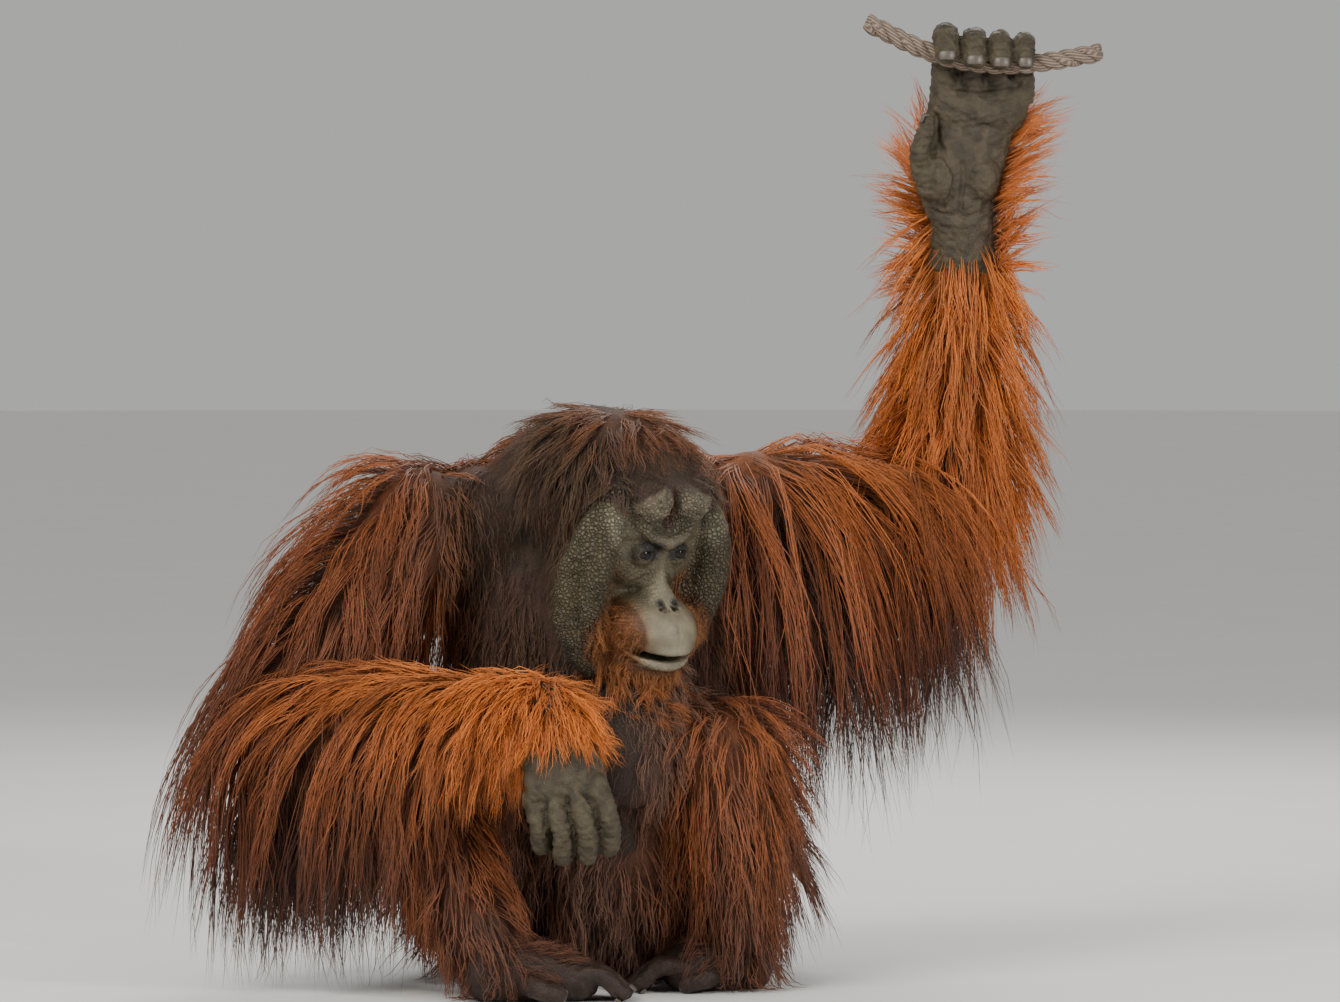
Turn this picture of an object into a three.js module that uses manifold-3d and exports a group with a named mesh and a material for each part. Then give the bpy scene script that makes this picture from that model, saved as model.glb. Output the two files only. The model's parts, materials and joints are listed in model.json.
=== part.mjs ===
// A life-size, seated adult male orangutan with cheek pads, one arm raised to a short cut length of rope:
// a still museum model. Millimetres, +Z up, the floor at Z = 0, and the origin under the middle of the seat.
// -Y is the way the chest faces, and +X is the animal's left side.
import * as THREE from "three";
import { mergeVertices } from "three/addons/utils/BufferGeometryUtils.js";
import Module from "manifold-3d";

const wasm = await Module();
wasm.setup();

// Driving dimensions
const GAP = 0.3; // kept between nodes that meet
const LOCK_GAP = 1; // kept between locks of two nodes where they cross
const UNDERCOAT = 9; // dense short coat over the flesh where the locks grow
const LOCK_CLEAR = 5; // least height of a lock over the undercoat
const LOCK_THICKNESS = 8;
const LOCK_ROOT = 0.62; // width of a lock at its root, as a share of its widest
const LOCK_WIDEST = 0.35; // where a lock is widest, as a share of its length
const LOCK_TAPER = 2.2; // power of the taper to the tip
const ROOT_DEPTH = 6; // how deep a lock's root is sunk
const GROWN_WIDTH = 1.1; // a grown lock is also this much wider
const GROWN_ACROSS = 3; // and its corners move by this many times the growth across,
const GROWN_DEEP = 2; // and by this many times outward, as its section is a thin triangle
const ROPE_RADIUS = 12;
const GRIP_RADIUS = 27.5; // from the middle of the rope to the middle of a finger
const FINGER_RADIUS = 13.2; // of a relaxed finger
const FINGER_TAPER = 0.5; // lost at each station along a finger
const TOE_RADIUS = 11;
const TOE_SPACING = 20;
const TOE_LENGTH = 56;
const TOE_STEP = 5; // by which each toe is shorter than its neighbour
const EYE_RADIUS = 12.3;
const EYE_SPACING = 52;
const LID_THICKNESS = 3.4;
const HEAD_TURN = 38; // degrees, to the animal's left
const HEAD_NOD = 22; // degrees, face down
const CHEST_TURN = 16; // degrees, to the animal's left
const SEAT_DEPTH = 135; // from the plane of the stations to the middle of the seat, along Y
const FLOOR_REACH = 900; // half-size of the block that flattens what rests on the floor
const CAP_ROWS = 2; // of facets in the rounded end of a limb
const GIRTH_PITCH = 40; // between stations in the curve that blends the girths of a limb

const point = (x, y, z) => new THREE.Vector3(x, y, z);
const radians = THREE.MathUtils.degToRad;
const UP = point(0, 0, 1);
const SIDES = { right: -1, left: 1 };

// Joints of the skeleton
const shoulder = { right: point(-226, -5, 556), left: point(152, 92, 566) };
const elbow = { right: point(-416, -112, 298), left: point(404, 278, 545) };
const wrist = { right: point(-74, -282, 345), left: point(419, 180, 915) };
const hip = { right: point(-92, 130, 112), left: point(94, 160, 112) };
const knee = { right: point(-230, -112, 203), left: point(116, -98, 296) };
const ankle = { right: point(-152, -232, 55), left: point(144, -112, 60) };
const loin = point(-8, 72, 265);
const napeRoot = point(-82, 28, 560);
const betweenEyes = point(46, -185, 523);

// Seeded draw, so that every build is the same
function draw(seed) {
  let state = seed;
  return () => {
    state = (state * 1664525 + 1013904223) % 4294967296;
    return state / 4294967296;
  };
}

// A closed geometry as a solid that faces out
function solidOf(geometry) {
  const bare = geometry.clone();
  bare.deleteAttribute("normal");
  bare.deleteAttribute("uv");
  const merged = mergeVertices(bare, 1e-4);
  const triVerts = new Uint32Array(merged.index.array);
  const vertProperties = new Float32Array(merged.attributes.position.array);
  const made = new wasm.Manifold(new wasm.Mesh({ numProp: 3, vertProperties, triVerts }));
  if (made.volume() > 0) return made;
  for (let i = 0; i < triVerts.length; i += 3) {
    [triVerts[i], triVerts[i + 1]] = [triVerts[i + 1], triVerts[i]];
  }
  return new wasm.Manifold(new wasm.Mesh({ numProp: 3, vertProperties, triVerts }));
}

// The largest closed surface of a solid, without loose scraps
function largest(made) {
  return made.decompose().reduce((a, b) => (b.volume() > a.volume() ? b : a));
}

// A length of body: a spine through stations [x, y, z, half-width, half-depth], with rounded ends
class Limb {
  constructor({ side, stations, sides = 10, steps = 4, cap = 0.7 }) {
    this.side = side.clone().normalize();
    this.sides = sides;
    this.steps = steps;
    this.cap = cap;
    const places = stations.map(([x, y, z]) => point(x, y, z));
    const girths = stations.map(([, , , width, depth = width], k) => point(width, depth, GIRTH_PITCH * k));
    this.spine = new THREE.CatmullRomCurve3(places, false, "centripetal");
    this.girth = new THREE.CatmullRomCurve3(girths, false, "centripetal");
  }

  frameAt(u) {
    const centre = this.spine.getPoint(u);
    const along = this.spine.getTangent(u);
    const across = this.side.clone().addScaledVector(along, -this.side.dot(along)).normalize();
    const deep = along.clone().cross(across);
    const { x: width, y: depth } = this.girth.getPoint(u);
    return { centre, along, across, deep, width, depth, length: (width + depth) / 2 };
  }

  // The skin at u along the spine and a turn round it
  surface(u, turn) {
    const f = this.frameAt(u);
    const c = Math.cos(turn);
    const s = Math.sin(turn);
    const at = f.centre.clone().addScaledVector(f.across, c * f.width).addScaledVector(f.deep, s * f.depth);
    const normal = f.across.clone().multiplyScalar(c / f.width);
    normal.addScaledVector(f.deep, s / f.depth).normalize();
    return { at, normal, along: f.along };
  }

  solid(grow = 0) {
    const rows = this.steps + 2 * CAP_ROWS;
    const geometry = new THREE.SphereGeometry(1, this.sides, rows);
    const place = geometry.attributes.position;
    for (let row = 0; row <= rows; row++) {
      const before = Math.max(0, CAP_ROWS - row);
      const after = Math.max(0, row - rows + CAP_ROWS);
      const closing = ((before + after) / CAP_ROWS) * (Math.PI / 2);
      const shrink = before + after === CAP_ROWS ? 0 : Math.cos(closing);
      const f = this.frameAt(THREE.MathUtils.clamp((row - CAP_ROWS) / this.steps, 0, 1));
      const reach = Math.sign(after - before) * Math.sin(closing) * (this.cap * f.length + grow);
      f.centre.addScaledVector(f.along, reach);
      for (let column = 0; column <= this.sides; column++) {
        const turn = ((column % this.sides) / this.sides) * 2 * Math.PI;
        const at = f.centre.clone();
        at.addScaledVector(f.across, Math.cos(turn) * shrink * (f.width + grow));
        at.addScaledVector(f.deep, Math.sin(turn) * shrink * (f.depth + grow));
        place.setXYZ(row * (this.sides + 1) + column, at.x, at.y, at.z);
      }
    }
    return solidOf(geometry);
  }

  // Ellipsoids along the spine, which tell how far a point is from the flesh
  beads(grow) {
    const count = 3 * this.steps;
    return Array.from({ length: count + 1 }, (_, i) => {
      const f = this.frameAt(i / count);
      return { ...f, width: f.width + grow, depth: f.depth + grow, length: f.length + grow };
    });
  }
}

// A rounded mass with half-sizes [x, y, z] in a turned frame
class Mass {
  constructor(centre, radii, { turn = new THREE.Matrix4(), detail = [10, 7] } = {}) {
    this.centre = centre;
    this.radii = radii;
    this.turn = turn;
    this.detail = detail;
  }

  // The skin at u from the top down and a turn round it, with the way down the surface
  surface(u, turn) {
    const [a, b, c] = this.radii;
    const sin = Math.sin(Math.PI * u);
    const cos = Math.cos(Math.PI * u);
    const at = point(a * sin * Math.cos(turn), b * sin * Math.sin(turn), c * cos);
    const normal = point(at.x / a ** 2, at.y / b ** 2, at.z / c ** 2).transformDirection(this.turn);
    const along = point(a * cos * Math.cos(turn), b * cos * Math.sin(turn), -c * sin);
    along.transformDirection(this.turn);
    return { at: at.applyMatrix4(this.turn).add(this.centre), normal, along };
  }

  solid(grow = 0) {
    const geometry = new THREE.SphereGeometry(1, ...this.detail);
    geometry.rotateX(Math.PI / 2);
    geometry.scale(...this.radii.map((r) => r + grow));
    geometry.applyMatrix4(this.turn);
    geometry.translate(this.centre.x, this.centre.y, this.centre.z);
    return solidOf(geometry);
  }

  beads(grow) {
    const [across, along, deep] = [0, 1, 2].map((i) => point(0, 0, 0).setFromMatrixColumn(this.turn, i));
    const [width, length, depth] = this.radii.map((r) => r + grow);
    return [{ centre: this.centre, across, along, deep, width, depth, length }];
  }
}

// Stations between two joints, each [share of the way, half-width, half-depth]
function between(from, to, sizes) {
  const place = (share) => from.clone().lerp(to, share).toArray();
  return sizes.map(([share, width, depth = width]) => [...place(share), width, depth]);
}

// Trunk, shoulders and neck
const chestSide = point(Math.cos(radians(CHEST_TURN)), Math.sin(radians(CHEST_TURN)), 0);
const trunk = new Limb({
  side: chestSide,
  stations: [
    [0, 140, 62, 142, 122],
    [0, 104, 160, 164, 140],
    [-8, 72, 265, 172, 142],
    [-22, 58, 380, 176, 138],
    [-38, 58, 480, 172, 122],
    [-46, 62, 545, 140, 96],
  ],
  sides: 14,
  steps: 6,
  cap: 0.62,
});
const belly = new Mass(point(8, -8, 172), [112, 118, 142], { detail: [10, 7] });
const shoulders = [
  new Mass(point(-170, 20, 542), [92, 82, 78]),
  new Mass(point(100, 82, 556), [84, 78, 72]),
];
const nape = new Limb({
  side: point(0.5, 0.85, 0),
  stations: [
    [-110, 70, 545, 84],
    [-82, 28, 582, 82],
    [-42, -32, 602, 78],
    [4, -88, 600, 72],
  ],
  steps: 3,
});
const throat = new Limb({
  side: point(1, 0, 0),
  stations: [
    [-36, 0, 470, 88, 80],
    [-18, -45, 500, 78, 72],
    [2, -85, 530, 62, 56],
  ],
  steps: 2,
});

// Arms
const armGirths = {
  upper: {
    right: [[0, 76], [0.3, 72], [0.62, 62], [0.9, 55], [1, 52]],
    left: [[0, 70], [0.3, 70], [0.65, 62], [0.92, 56], [1, 53]],
  },
  lower: {
    right: [[0, 55], [0.22, 62, 60], [0.52, 54, 52], [0.82, 40, 38], [1, 34, 30]],
    left: [[0, 55], [0.24, 62, 60], [0.54, 54, 50], [0.85, 42, 35], [1, 40, 30]],
  },
};
const upperArm = {
  right: new Limb({
    side: point(0.5, -0.8, -0.3),
    stations: between(shoulder.right, elbow.right, armGirths.upper.right),
  }),
  left: new Limb({
    side: point(-0.5, 0.7, 0),
    stations: between(shoulder.left, elbow.left, armGirths.upper.left),
  }),
};
const forearm = {
  right: new Limb({
    side: point(-0.4, -0.9, 0),
    stations: between(elbow.right, wrist.right, armGirths.lower.right),
  }),
  left: new Limb({
    side: point(1, 0, 0),
    stations: between(elbow.left, wrist.left, armGirths.lower.left),
  }),
};
const palm = {
  right: new Limb({
    side: point(0.85, 0.1, 0.42),
    stations: [
      [...wrist.right.toArray(), 34, 28],
      [-70, -302, 306, 41, 25],
      [-64, -316, 270, 46, 22],
      [-61, -320, 250, 44, 18],
    ],
    steps: 3,
    cap: 0.4,
  }),
  left: new Limb({
    side: point(0.98, 0, -0.15),
    stations: [
      [...wrist.left.toArray(), 39, 29],
      [412, 173, 950, 48, 27],
      [421, 168, 1005, 53, 24],
      [433, 164, 1070, 57, 18],
    ],
    steps: 4,
    cap: 0.3,
  }),
};

// The rope dips through the raised fist
const ropeLine = new THREE.CatmullRomCurve3([
  point(300, 128, 1153),
  point(378, 128, 1117),
  point(438, 128, 1104),
  point(500, 128, 1104),
  point(582, 128, 1117),
]);
const ropeTube = new Limb({
  side: UP,
  stations: ropeLine.getPoints(6).map((at) => [...at.toArray(), ROPE_RADIUS]),
  sides: 10,
  steps: 5,
  cap: 0.2,
});

// A finger hooked over the rope, from behind it over the top to the front
function hookedFinger([x, radius]) {
  const share = (x - ropeLine.points[0].x) / (ropeLine.points.at(-1).x - ropeLine.points[0].x);
  const { y, z } = ropeLine.getPoint(share);
  const knuckle = [x, 162, 1062, radius];
  const hook = [0, 45, 90, 135, 180, 205].map(radians).map((a, k) => [
    x,
    y + GRIP_RADIUS * Math.cos(a),
    z + GRIP_RADIUS * Math.sin(a),
    radius - FINGER_TAPER * k,
  ]);
  return new Limb({ side: point(1, 0, 0), stations: [knuckle, ...hook], sides: 6, steps: 7 });
}

// A finger that hangs relaxed, through four places
function hangingFinger(places) {
  const stations = places.map((place, k) => [...place, FINGER_RADIUS - FINGER_TAPER * k]);
  return new Limb({ side: point(1, 0, 0), stations, sides: 6, steps: 4 });
}

const fingers = {
  left: [[396, 15.2], [428, 15.2], [460, 14.6], [489, 12.2]].map(hookedFinger),
  right: [
    [[-26, -322, 264], [-10, -338, 218], [-10, -322, 188], [-18, -296, 190]],
    [[-50, -328, 250], [-36, -344, 206], [-36, -324, 178], [-40, -298, 184]],
    [[-76, -322, 244], [-64, -338, 202], [-64, -316, 176], [-64, -290, 184]],
    [[-99, -310, 246], [-91, -324, 210], [-89, -302, 188], [-86, -280, 196]],
  ].map(hangingFinger),
};
const thumb = {
  left: new Limb({
    side: point(0, 1, 0),
    stations: [[374, 166, 950, 16], [366, 158, 990, 13], [375, 152, 1032, 10]],
    sides: 7,
    steps: 3,
  }),
  right: new Limb({
    side: point(0, 1, 0),
    stations: [[-46, -272, 312, 15], [-26, -262, 268, 13], [-28, -266, 228, 10.5]],
    sides: 7,
    steps: 3,
  }),
};

// Legs
const thigh = {
  right: new Limb({
    side: point(0.3, 0, 1),
    stations: between(hip.right, knee.right, [[0, 106, 100], [0.42, 92, 88], [0.86, 68, 66], [1, 60, 58]]),
    steps: 4,
  }),
  left: new Limb({
    side: point(1, 0, 0),
    stations: between(hip.left, knee.left, [[0, 100], [0.42, 88], [0.86, 68, 66], [1, 61, 58]]),
    steps: 4,
  }),
};
const shank = {
  right: new Limb({
    side: point(1, 0, 0),
    stations: between(knee.right, ankle.right, [[0, 58], [0.35, 54], [0.75, 42], [1, 36]]),
    steps: 4,
  }),
  left: new Limb({
    side: point(1, 0, 0),
    stations: between(knee.left, ankle.left, [[0, 60], [0.35, 56], [0.75, 44], [1, 37]]),
    steps: 4,
  }),
};
const foot = {
  right: new Limb({
    side: point(0, 1, 0),
    stations: [[-158, -242, 32, 30, 34], [-105, -244, 32, 36, 34], [-46, -232, 26, 40, 27]],
    steps: 4,
  }),
  left: new Limb({
    side: point(0, 1, 0),
    stations: [[160, -92, 32, 30, 34], [116, -112, 32, 36, 34], [74, -124, 26, 40, 27]],
    steps: 4,
  }),
};

// Four toes in a row from the ball of the foot, curled down to the floor, then the big toe beside the heel
function toesOf(sole, forward) {
  const root = sole.spine.getPoint(1);
  const toes = [0, 1, 2, 3].map((i) => {
    const y = root.y + (i - 1.5) * TOE_SPACING;
    const tip = root.x + forward * (TOE_LENGTH - TOE_STEP * Math.abs(i - 1));
    const stations = [
      [root.x - forward * 8, y, 30, TOE_RADIUS],
      [(root.x + tip) / 2, y, 31, TOE_RADIUS],
      [tip, y, TOE_RADIUS - 0.5, TOE_RADIUS - 1],
    ];
    return new Limb({ side: point(0, 1, 0), stations, sides: 5, steps: 2 });
  });
  const heel = sole.spine.getPoint(0.4);
  const stations = [
    [heel.x, heel.y - 22, 26, TOE_RADIUS + 3],
    [heel.x + forward * 24, heel.y - 47, 18, TOE_RADIUS + 2],
    [heel.x + forward * 46, heel.y - 50, TOE_RADIUS, TOE_RADIUS],
  ];
  return [...toes, new Limb({ side: point(0, 1, 0), stations, sides: 5, steps: 2 })];
}
const toes = { right: toesOf(foot.right, 1), left: toesOf(foot.left, -1) };

// The head has its own frame: the origin midway between the eyes, and -Y the way the face looks
const headTurn = new THREE.Matrix4()
  .makeRotationZ(radians(HEAD_TURN))
  .multiply(new THREE.Matrix4().makeRotationX(radians(HEAD_NOD)));
const headPlace = new THREE.Matrix4().makeTranslation(betweenEyes).multiply(headTurn);
const inHead = (x, y, z) => point(x, y, z).applyMatrix4(headPlace);
const headWay = (x, y, z) => point(x, y, z).transformDirection(headTurn);
const headMass = (x, y, z, radii, detail) => new Mass(inHead(x, y, z), radii, { turn: headTurn, detail });

function headLimb({ side = [1, 0, 0], stations, ...options }) {
  const placed = stations.map(([x, y, z, width, depth]) => [...inHead(x, y, z).toArray(), width, depth]);
  return new Limb({ side: headWay(...side), stations: placed, ...options });
}

const skull = [
  headMass(0, 88, 50, [82, 98, 84], [10, 7]),
  headMass(0, 148, 44, [82, 78, 74], [9, 5]),
  headMass(0, 52, -40, [84, 44, 104], [10, 6]),
  headMass(0, 20, -10, [64, 30, 46], [10, 6]),
];
const brows = [
  headMass(-28, 6, 66, [28, 25, 27], [8, 5]),
  headMass(28, 6, 66, [28, 25, 27], [8, 5]),
  headLimb({
    side: [0, 0, 1],
    stations: [
      [-46, 10, 12, 9, 14],
      [-27, -6, 27, 9, 14],
      [0, -10, 22, 11, 14],
      [27, -6, 27, 9, 14],
      [46, 10, 12, 9, 14],
    ],
    sides: 6,
    steps: 6,
  }),
];
const muzzle = [
  headMass(0, -16, -84, [56, 62, 38], [12, 7]),
  headMass(0, -13, -46, [19, 22, 20], [8, 6]),
  headLimb({
    stations: [[0, 0, 10, 9, 12], [0, -4, -20, 11, 14], [0, -12, -42, 15, 16]],
    sides: 6,
    steps: 2,
  }),
];
const jaw = [
  headMass(0, -10, -128, [48, 52, 28], [12, 6]),
  headMass(0, 0, -152, [46, 42, 34], [10, 6]),
];
const mouthGap = headMass(0, -48, -104, [54, 42, 6], [12, 4]);
const nostrils = [-1, 1].map((sign) => headMass(sign * 9, -34, -53, [4.6, 9, 6.5], [6, 4]));

const padOf = (sign) =>
  headLimb({
    stations: [
      [sign * 52, 26, 68, 22, 18],
      [sign * 74, 20, 26, 30, 20],
      [sign * 85, 20, -22, 36, 22],
      [sign * 84, 15, -78, 36, 22],
      [sign * 66, 8, -120, 30, 20],
      [sign * 46, 4, -146, 22, 16],
    ],
    sides: 9,
    steps: 5,
  });
const eyeOf = (sign, radius, detail) =>
  headMass((sign * EYE_SPACING) / 2, 0, 0, [radius, radius, radius], detail);
const orbitOf = (sign) => headMass(sign * 27, -18, 0, [19, 20, 12], [8, 6]);
const lids = [-1, 1].map((sign) => eyeOf(sign, EYE_RADIUS + LID_THICKNESS, [10, 6]));
const lidOpeningOf = (sign) => headMass((sign * EYE_SPACING) / 2, -14, -0.5, [11, 9, 4.6], [8, 5]);
const earOf = (sign) => headMass(sign * 68, 86, 2, [11, 14, 20], [8, 5]);
const earCupOf = (sign) => headMass(sign * 78, 80, 2, [6, 8, 13], [6, 4]);

const sac = new Limb({
  side: headWay(1, 0, 0),
  stations: [
    [24, -122, 372, 62, 46],
    [20, -146, 326, 60, 46],
    [15, -164, 276, 55, 44],
    [12, -168, 246, 43, 36],
  ],
  sides: 10,
  steps: 4,
});

// How far a point stands off the nearest flesh, and which way is out of it
const coatedLimbs = [upperArm, forearm, thigh, shank].flatMap(Object.values);
const coated = [trunk, belly, ...shoulders, nape, throat, ...coatedLimbs];
const bare = [sac, ...[palm, foot].flatMap(Object.values), padOf(-1), padOf(1), ...skull, ...muzzle, ...jaw];
const flesh = [
  ...coated.flatMap((form) => form.beads(UNDERCOAT)),
  ...bare.flatMap((form) => form.beads(0)),
];

function clearance(at) {
  let nearest = { distance: Infinity, out: UP };
  const offset = point(0, 0, 0);
  for (const bead of flesh) {
    offset.subVectors(at, bead.centre);
    const x = offset.dot(bead.across) / bead.width;
    const y = offset.dot(bead.along) / bead.length;
    const z = offset.dot(bead.deep) / bead.depth;
    const distance = offset.length() * (1 - 1 / Math.max(Math.hypot(x, y, z), 1e-6));
    if (distance < nearest.distance) {
      const out = bead.across.clone().multiplyScalar(x / bead.width);
      out.addScaledVector(bead.along, y / bead.length).addScaledVector(bead.deep, z / bead.depth);
      nearest = { distance, out: out.normalize() };
    }
  }
  return nearest;
}

// A flat, keeled lock tapered to its tip, along a bent line of points, each with its outward way
function lockSolid({ line, outs, width }, grow = 0) {
  const steps = line.length - 1;
  const rings = line.map((at, k) => {
    const along = line[Math.min(k + 1, steps)].clone().sub(line[Math.max(k - 1, 0)]).normalize();
    const across = along.clone().cross(outs[k]).normalize();
    const share = k / steps;
    const swelling = Math.sin(Math.PI * Math.min(1, share / (2 * LOCK_WIDEST)));
    const swell = LOCK_ROOT + (1 - LOCK_ROOT) * swelling;
    const taper = k === steps ? 0 : swell * (1 - share ** LOCK_TAPER);
    const centre = at.clone().addScaledVector(along, k === steps ? grow : 0);
    const full = grow > 0 ? GROWN_WIDTH * width : width;
    const half = taper > 0 ? (taper * full) / 2 + GROWN_ACROSS * grow : 0;
    const thick = taper > 0 ? (taper * LOCK_THICKNESS) / 2 + GROWN_DEEP * grow : 0;
    return {
      centre,
      across: across.clone().multiplyScalar(half),
      out: across.clone().cross(along).multiplyScalar(thick),
    };
  });
  const geometry = new THREE.ConeGeometry(1, 1, 3, steps);
  const place = geometry.attributes.position;
  for (let i = 0; i < place.count; i++) {
    const ring = rings[Math.round((0.5 + place.getY(i)) * steps)];
    const at = ring.centre.clone();
    if (Math.hypot(place.getX(i), place.getZ(i)) > 1e-6) {
      const turn = Math.atan2(place.getZ(i), place.getX(i));
      at.addScaledVector(ring.across, Math.cos(turn)).addScaledVector(ring.out, Math.sin(turn));
    }
    place.setXYZ(i, at.x, at.y, at.z);
  }
  return solidOf(geometry);
}

// The bent line of one lock: it leaves the skin along its lie, turns down as it hangs, keeps clear of the
// flesh, stands off it by its rise at the tip, and clings to it by a share of what it stands off beyond that
function lockLine({ at, normal }, way, { length, hang, steps, rise, cling }) {
  const line = [at.clone().addScaledVector(normal, -ROOT_DEPTH).addScaledVector(way, -ROOT_DEPTH)];
  const outs = [normal];
  const out = normal.clone();
  for (let k = 1; k <= steps; k++) {
    const wanted = LOCK_CLEAR + LOCK_THICKNESS / 2 + (rise * k) / steps;
    const next = line[k - 1].clone().addScaledVector(way, length / steps + (k === 1 ? 2 * ROOT_DEPTH : 0));
    for (let pass = 0; pass < 3; pass++) {
      const near = clearance(next);
      const short = wanted - near.distance;
      next.addScaledVector(near.out, short > 0 ? short : short * cling);
      if (short > 0) out.lerp(near.out, 0.4).normalize();
    }
    next.z = Math.max(next.z, LOCK_THICKNESS);
    way.subVectors(next, line[k - 1]).normalize().addScaledVector(UP, -hang).normalize();
    line.push(next);
    outs.push(out.clone());
  }
  return { line, outs };
}

// Shingled rows of locks on a form
function coat(form, { rows, around, lie, length, width, seed, grows, ...habit }) {
  const { lift = 0.35, hang = 0.3, rise = 10, cling = 0, steps = 4 } = habit;
  const random = draw(seed);
  const locks = [];
  rows.forEach((u, row) => {
    for (let i = 0; i < around; i++) {
      const turn = ((i + 0.5 * (row % 2) + 0.3 * (random() - 0.5)) / around) * 2 * Math.PI;
      const spot = form.surface(u, turn);
      const size = 0.85 + 0.3 * random();
      const sway = 0.25 * (random() - 0.5);
      if (!grows(spot)) continue;
      const way = lie(spot).clone();
      way.addScaledVector(spot.normal, lift - way.dot(spot.normal));
      way.addScaledVector(spot.normal.clone().cross(way), sway).normalize();
      const bend = { length: size * length(u), hang, steps, rise, cling };
      locks.push({ ...lockLine(spot, way, bend), width: size * width });
    }
  });
  return locks;
}

const everywhere = () => true;
const facing = (x, y, z, least) => ({ normal }) => normal.dot(point(x, y, z)) > least;
const downward = ({ along }, share) => along.clone().multiplyScalar(share).addScaledVector(UP, -1);

// The scene graph: a carrier at each joint, with its nodes and the carriers further out
const body = new THREE.Group();
function carrier(parent, at, turn = new THREE.Matrix4()) {
  const made = new THREE.Group();
  made.position.copy(at);
  made.quaternion.setFromRotationMatrix(turn);
  parent.attach(made);
  return made;
}

const COLOURS = {
  coat: 0x8a4423,
  darkCoat: 0x5b3527,
  brightCoat: 0xb4612b,
  face: 0x5e5c50,
  hand: 0x6b6559,
  eye: 0x2a1a10,
  rope: 0x7d6a55,
};

// Nodes, in the order in which they keep their shape where two meet
const nodes = [];
function node(name, parent, colour, forms, { grow = 0, locks = [], carve = (whole) => whole } = {}) {
  nodes.push({ name, parent, colour, forms, grow, locks, carve });
}

const join = (forms, grow = 0) => wasm.Manifold.union(forms.map((form) => form.solid(grow)));
const chest = carrier(body, loin);
const neckBase = carrier(chest, napeRoot);
const face = carrier(neckBase, betweenEyes, headTurn);

node("torso", chest, COLOURS.darkCoat, [trunk, belly, ...shoulders], {
  grow: UNDERCOAT,
  locks: [
    ...coat(trunk, {
      rows: [0.97, 0.78, 0.58, 0.38],
      around: 7,
      lie: (spot) => downward(spot, 0),
      length: () => 185,
      width: 112,
      rise: 24,
      cling: 0.3,
      seed: 4,
      grows: facing(0, 1, 0, -0.1),
    }),
    ...shoulders.flatMap((form, i) =>
      coat(form, {
        rows: [0.3],
        around: 6,
        lie: ({ along }) => along,
        length: () => 130,
        width: 82,
        steps: 3,
        rise: 10,
        cling: 0.6,
        seed: 8 + i,
        grows: facing(0, -0.2, 1, 0.2),
      }),
    ),
  ],
});
node("rope", body, COLOURS.rope, [ropeTube]);
for (const [name, sign] of Object.entries(SIDES)) {
  node(`eye_${name}`, face, COLOURS.eye, [eyeOf(sign, EYE_RADIUS, [9, 6])]);
}
node("head", face, COLOURS.face, [...skull, ...brows, ...muzzle, ...lids], {
  locks: coat(skull[0], {
    rows: [0.12, 0.36],
    around: 8,
    lie: ({ along }) => along,
    length: (u) => 80 + 40 * u,
    width: 66,
    steps: 3,
    hang: 0.1,
    lift: 0.15,
    rise: 6,
    cling: 0.8,
    seed: 5,
    grows: facing(...headWay(0, 1, 0.8).toArray(), 0.3),
  }),
  carve(whole) {
    const orbits = join([-1, 1].map(orbitOf));
    const openings = join([...[-1, 1].map(lidOpeningOf), ...nostrils, mouthGap]);
    return whole.subtract(orbits).add(join(lids)).subtract(openings);
  },
});
node("lower_jaw", carrier(face, inHead(0, 40, -120), headTurn), COLOURS.coat, jaw, {
  locks: coat(jaw[1], {
    rows: [0.46, 0.68],
    around: 9,
    lie: (spot) => downward(spot, 0.4),
    length: () => 74,
    width: 34,
    steps: 3,
    hang: 0.2,
    lift: 0.5,
    rise: 4,
    cling: 0.2,
    seed: 6,
    grows: facing(...headWay(0, -1, -0.6).toArray(), -0.1),
  }),
  carve: (whole) => whole.subtract(mouthGap.solid()),
});
for (const [name, sign] of Object.entries(SIDES)) {
  node(`cheek_pad_${name}`, face, COLOURS.face, [padOf(sign)]);
}
for (const [name, sign] of Object.entries(SIDES)) {
  node(`ear_${name}`, face, COLOURS.face, [earOf(sign)], {
    carve: (whole) => whole.subtract(earCupOf(sign).solid()),
  });
}
node("neck", neckBase, COLOURS.darkCoat, [nape, throat], {
  grow: UNDERCOAT,
  locks: coat(nape, {
    rows: [0.15, 0.6],
    around: 7,
    lie: (spot) => downward(spot, -1),
    length: () => 95,
    width: 72,
    steps: 3,
    rise: 3,
    cling: 0.8,
    seed: 7,
    grows: facing(-0.5, 0.7, 0.5, 0),
  }),
});
node("throat_sac", neckBase, COLOURS.face, [sac]);

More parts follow.
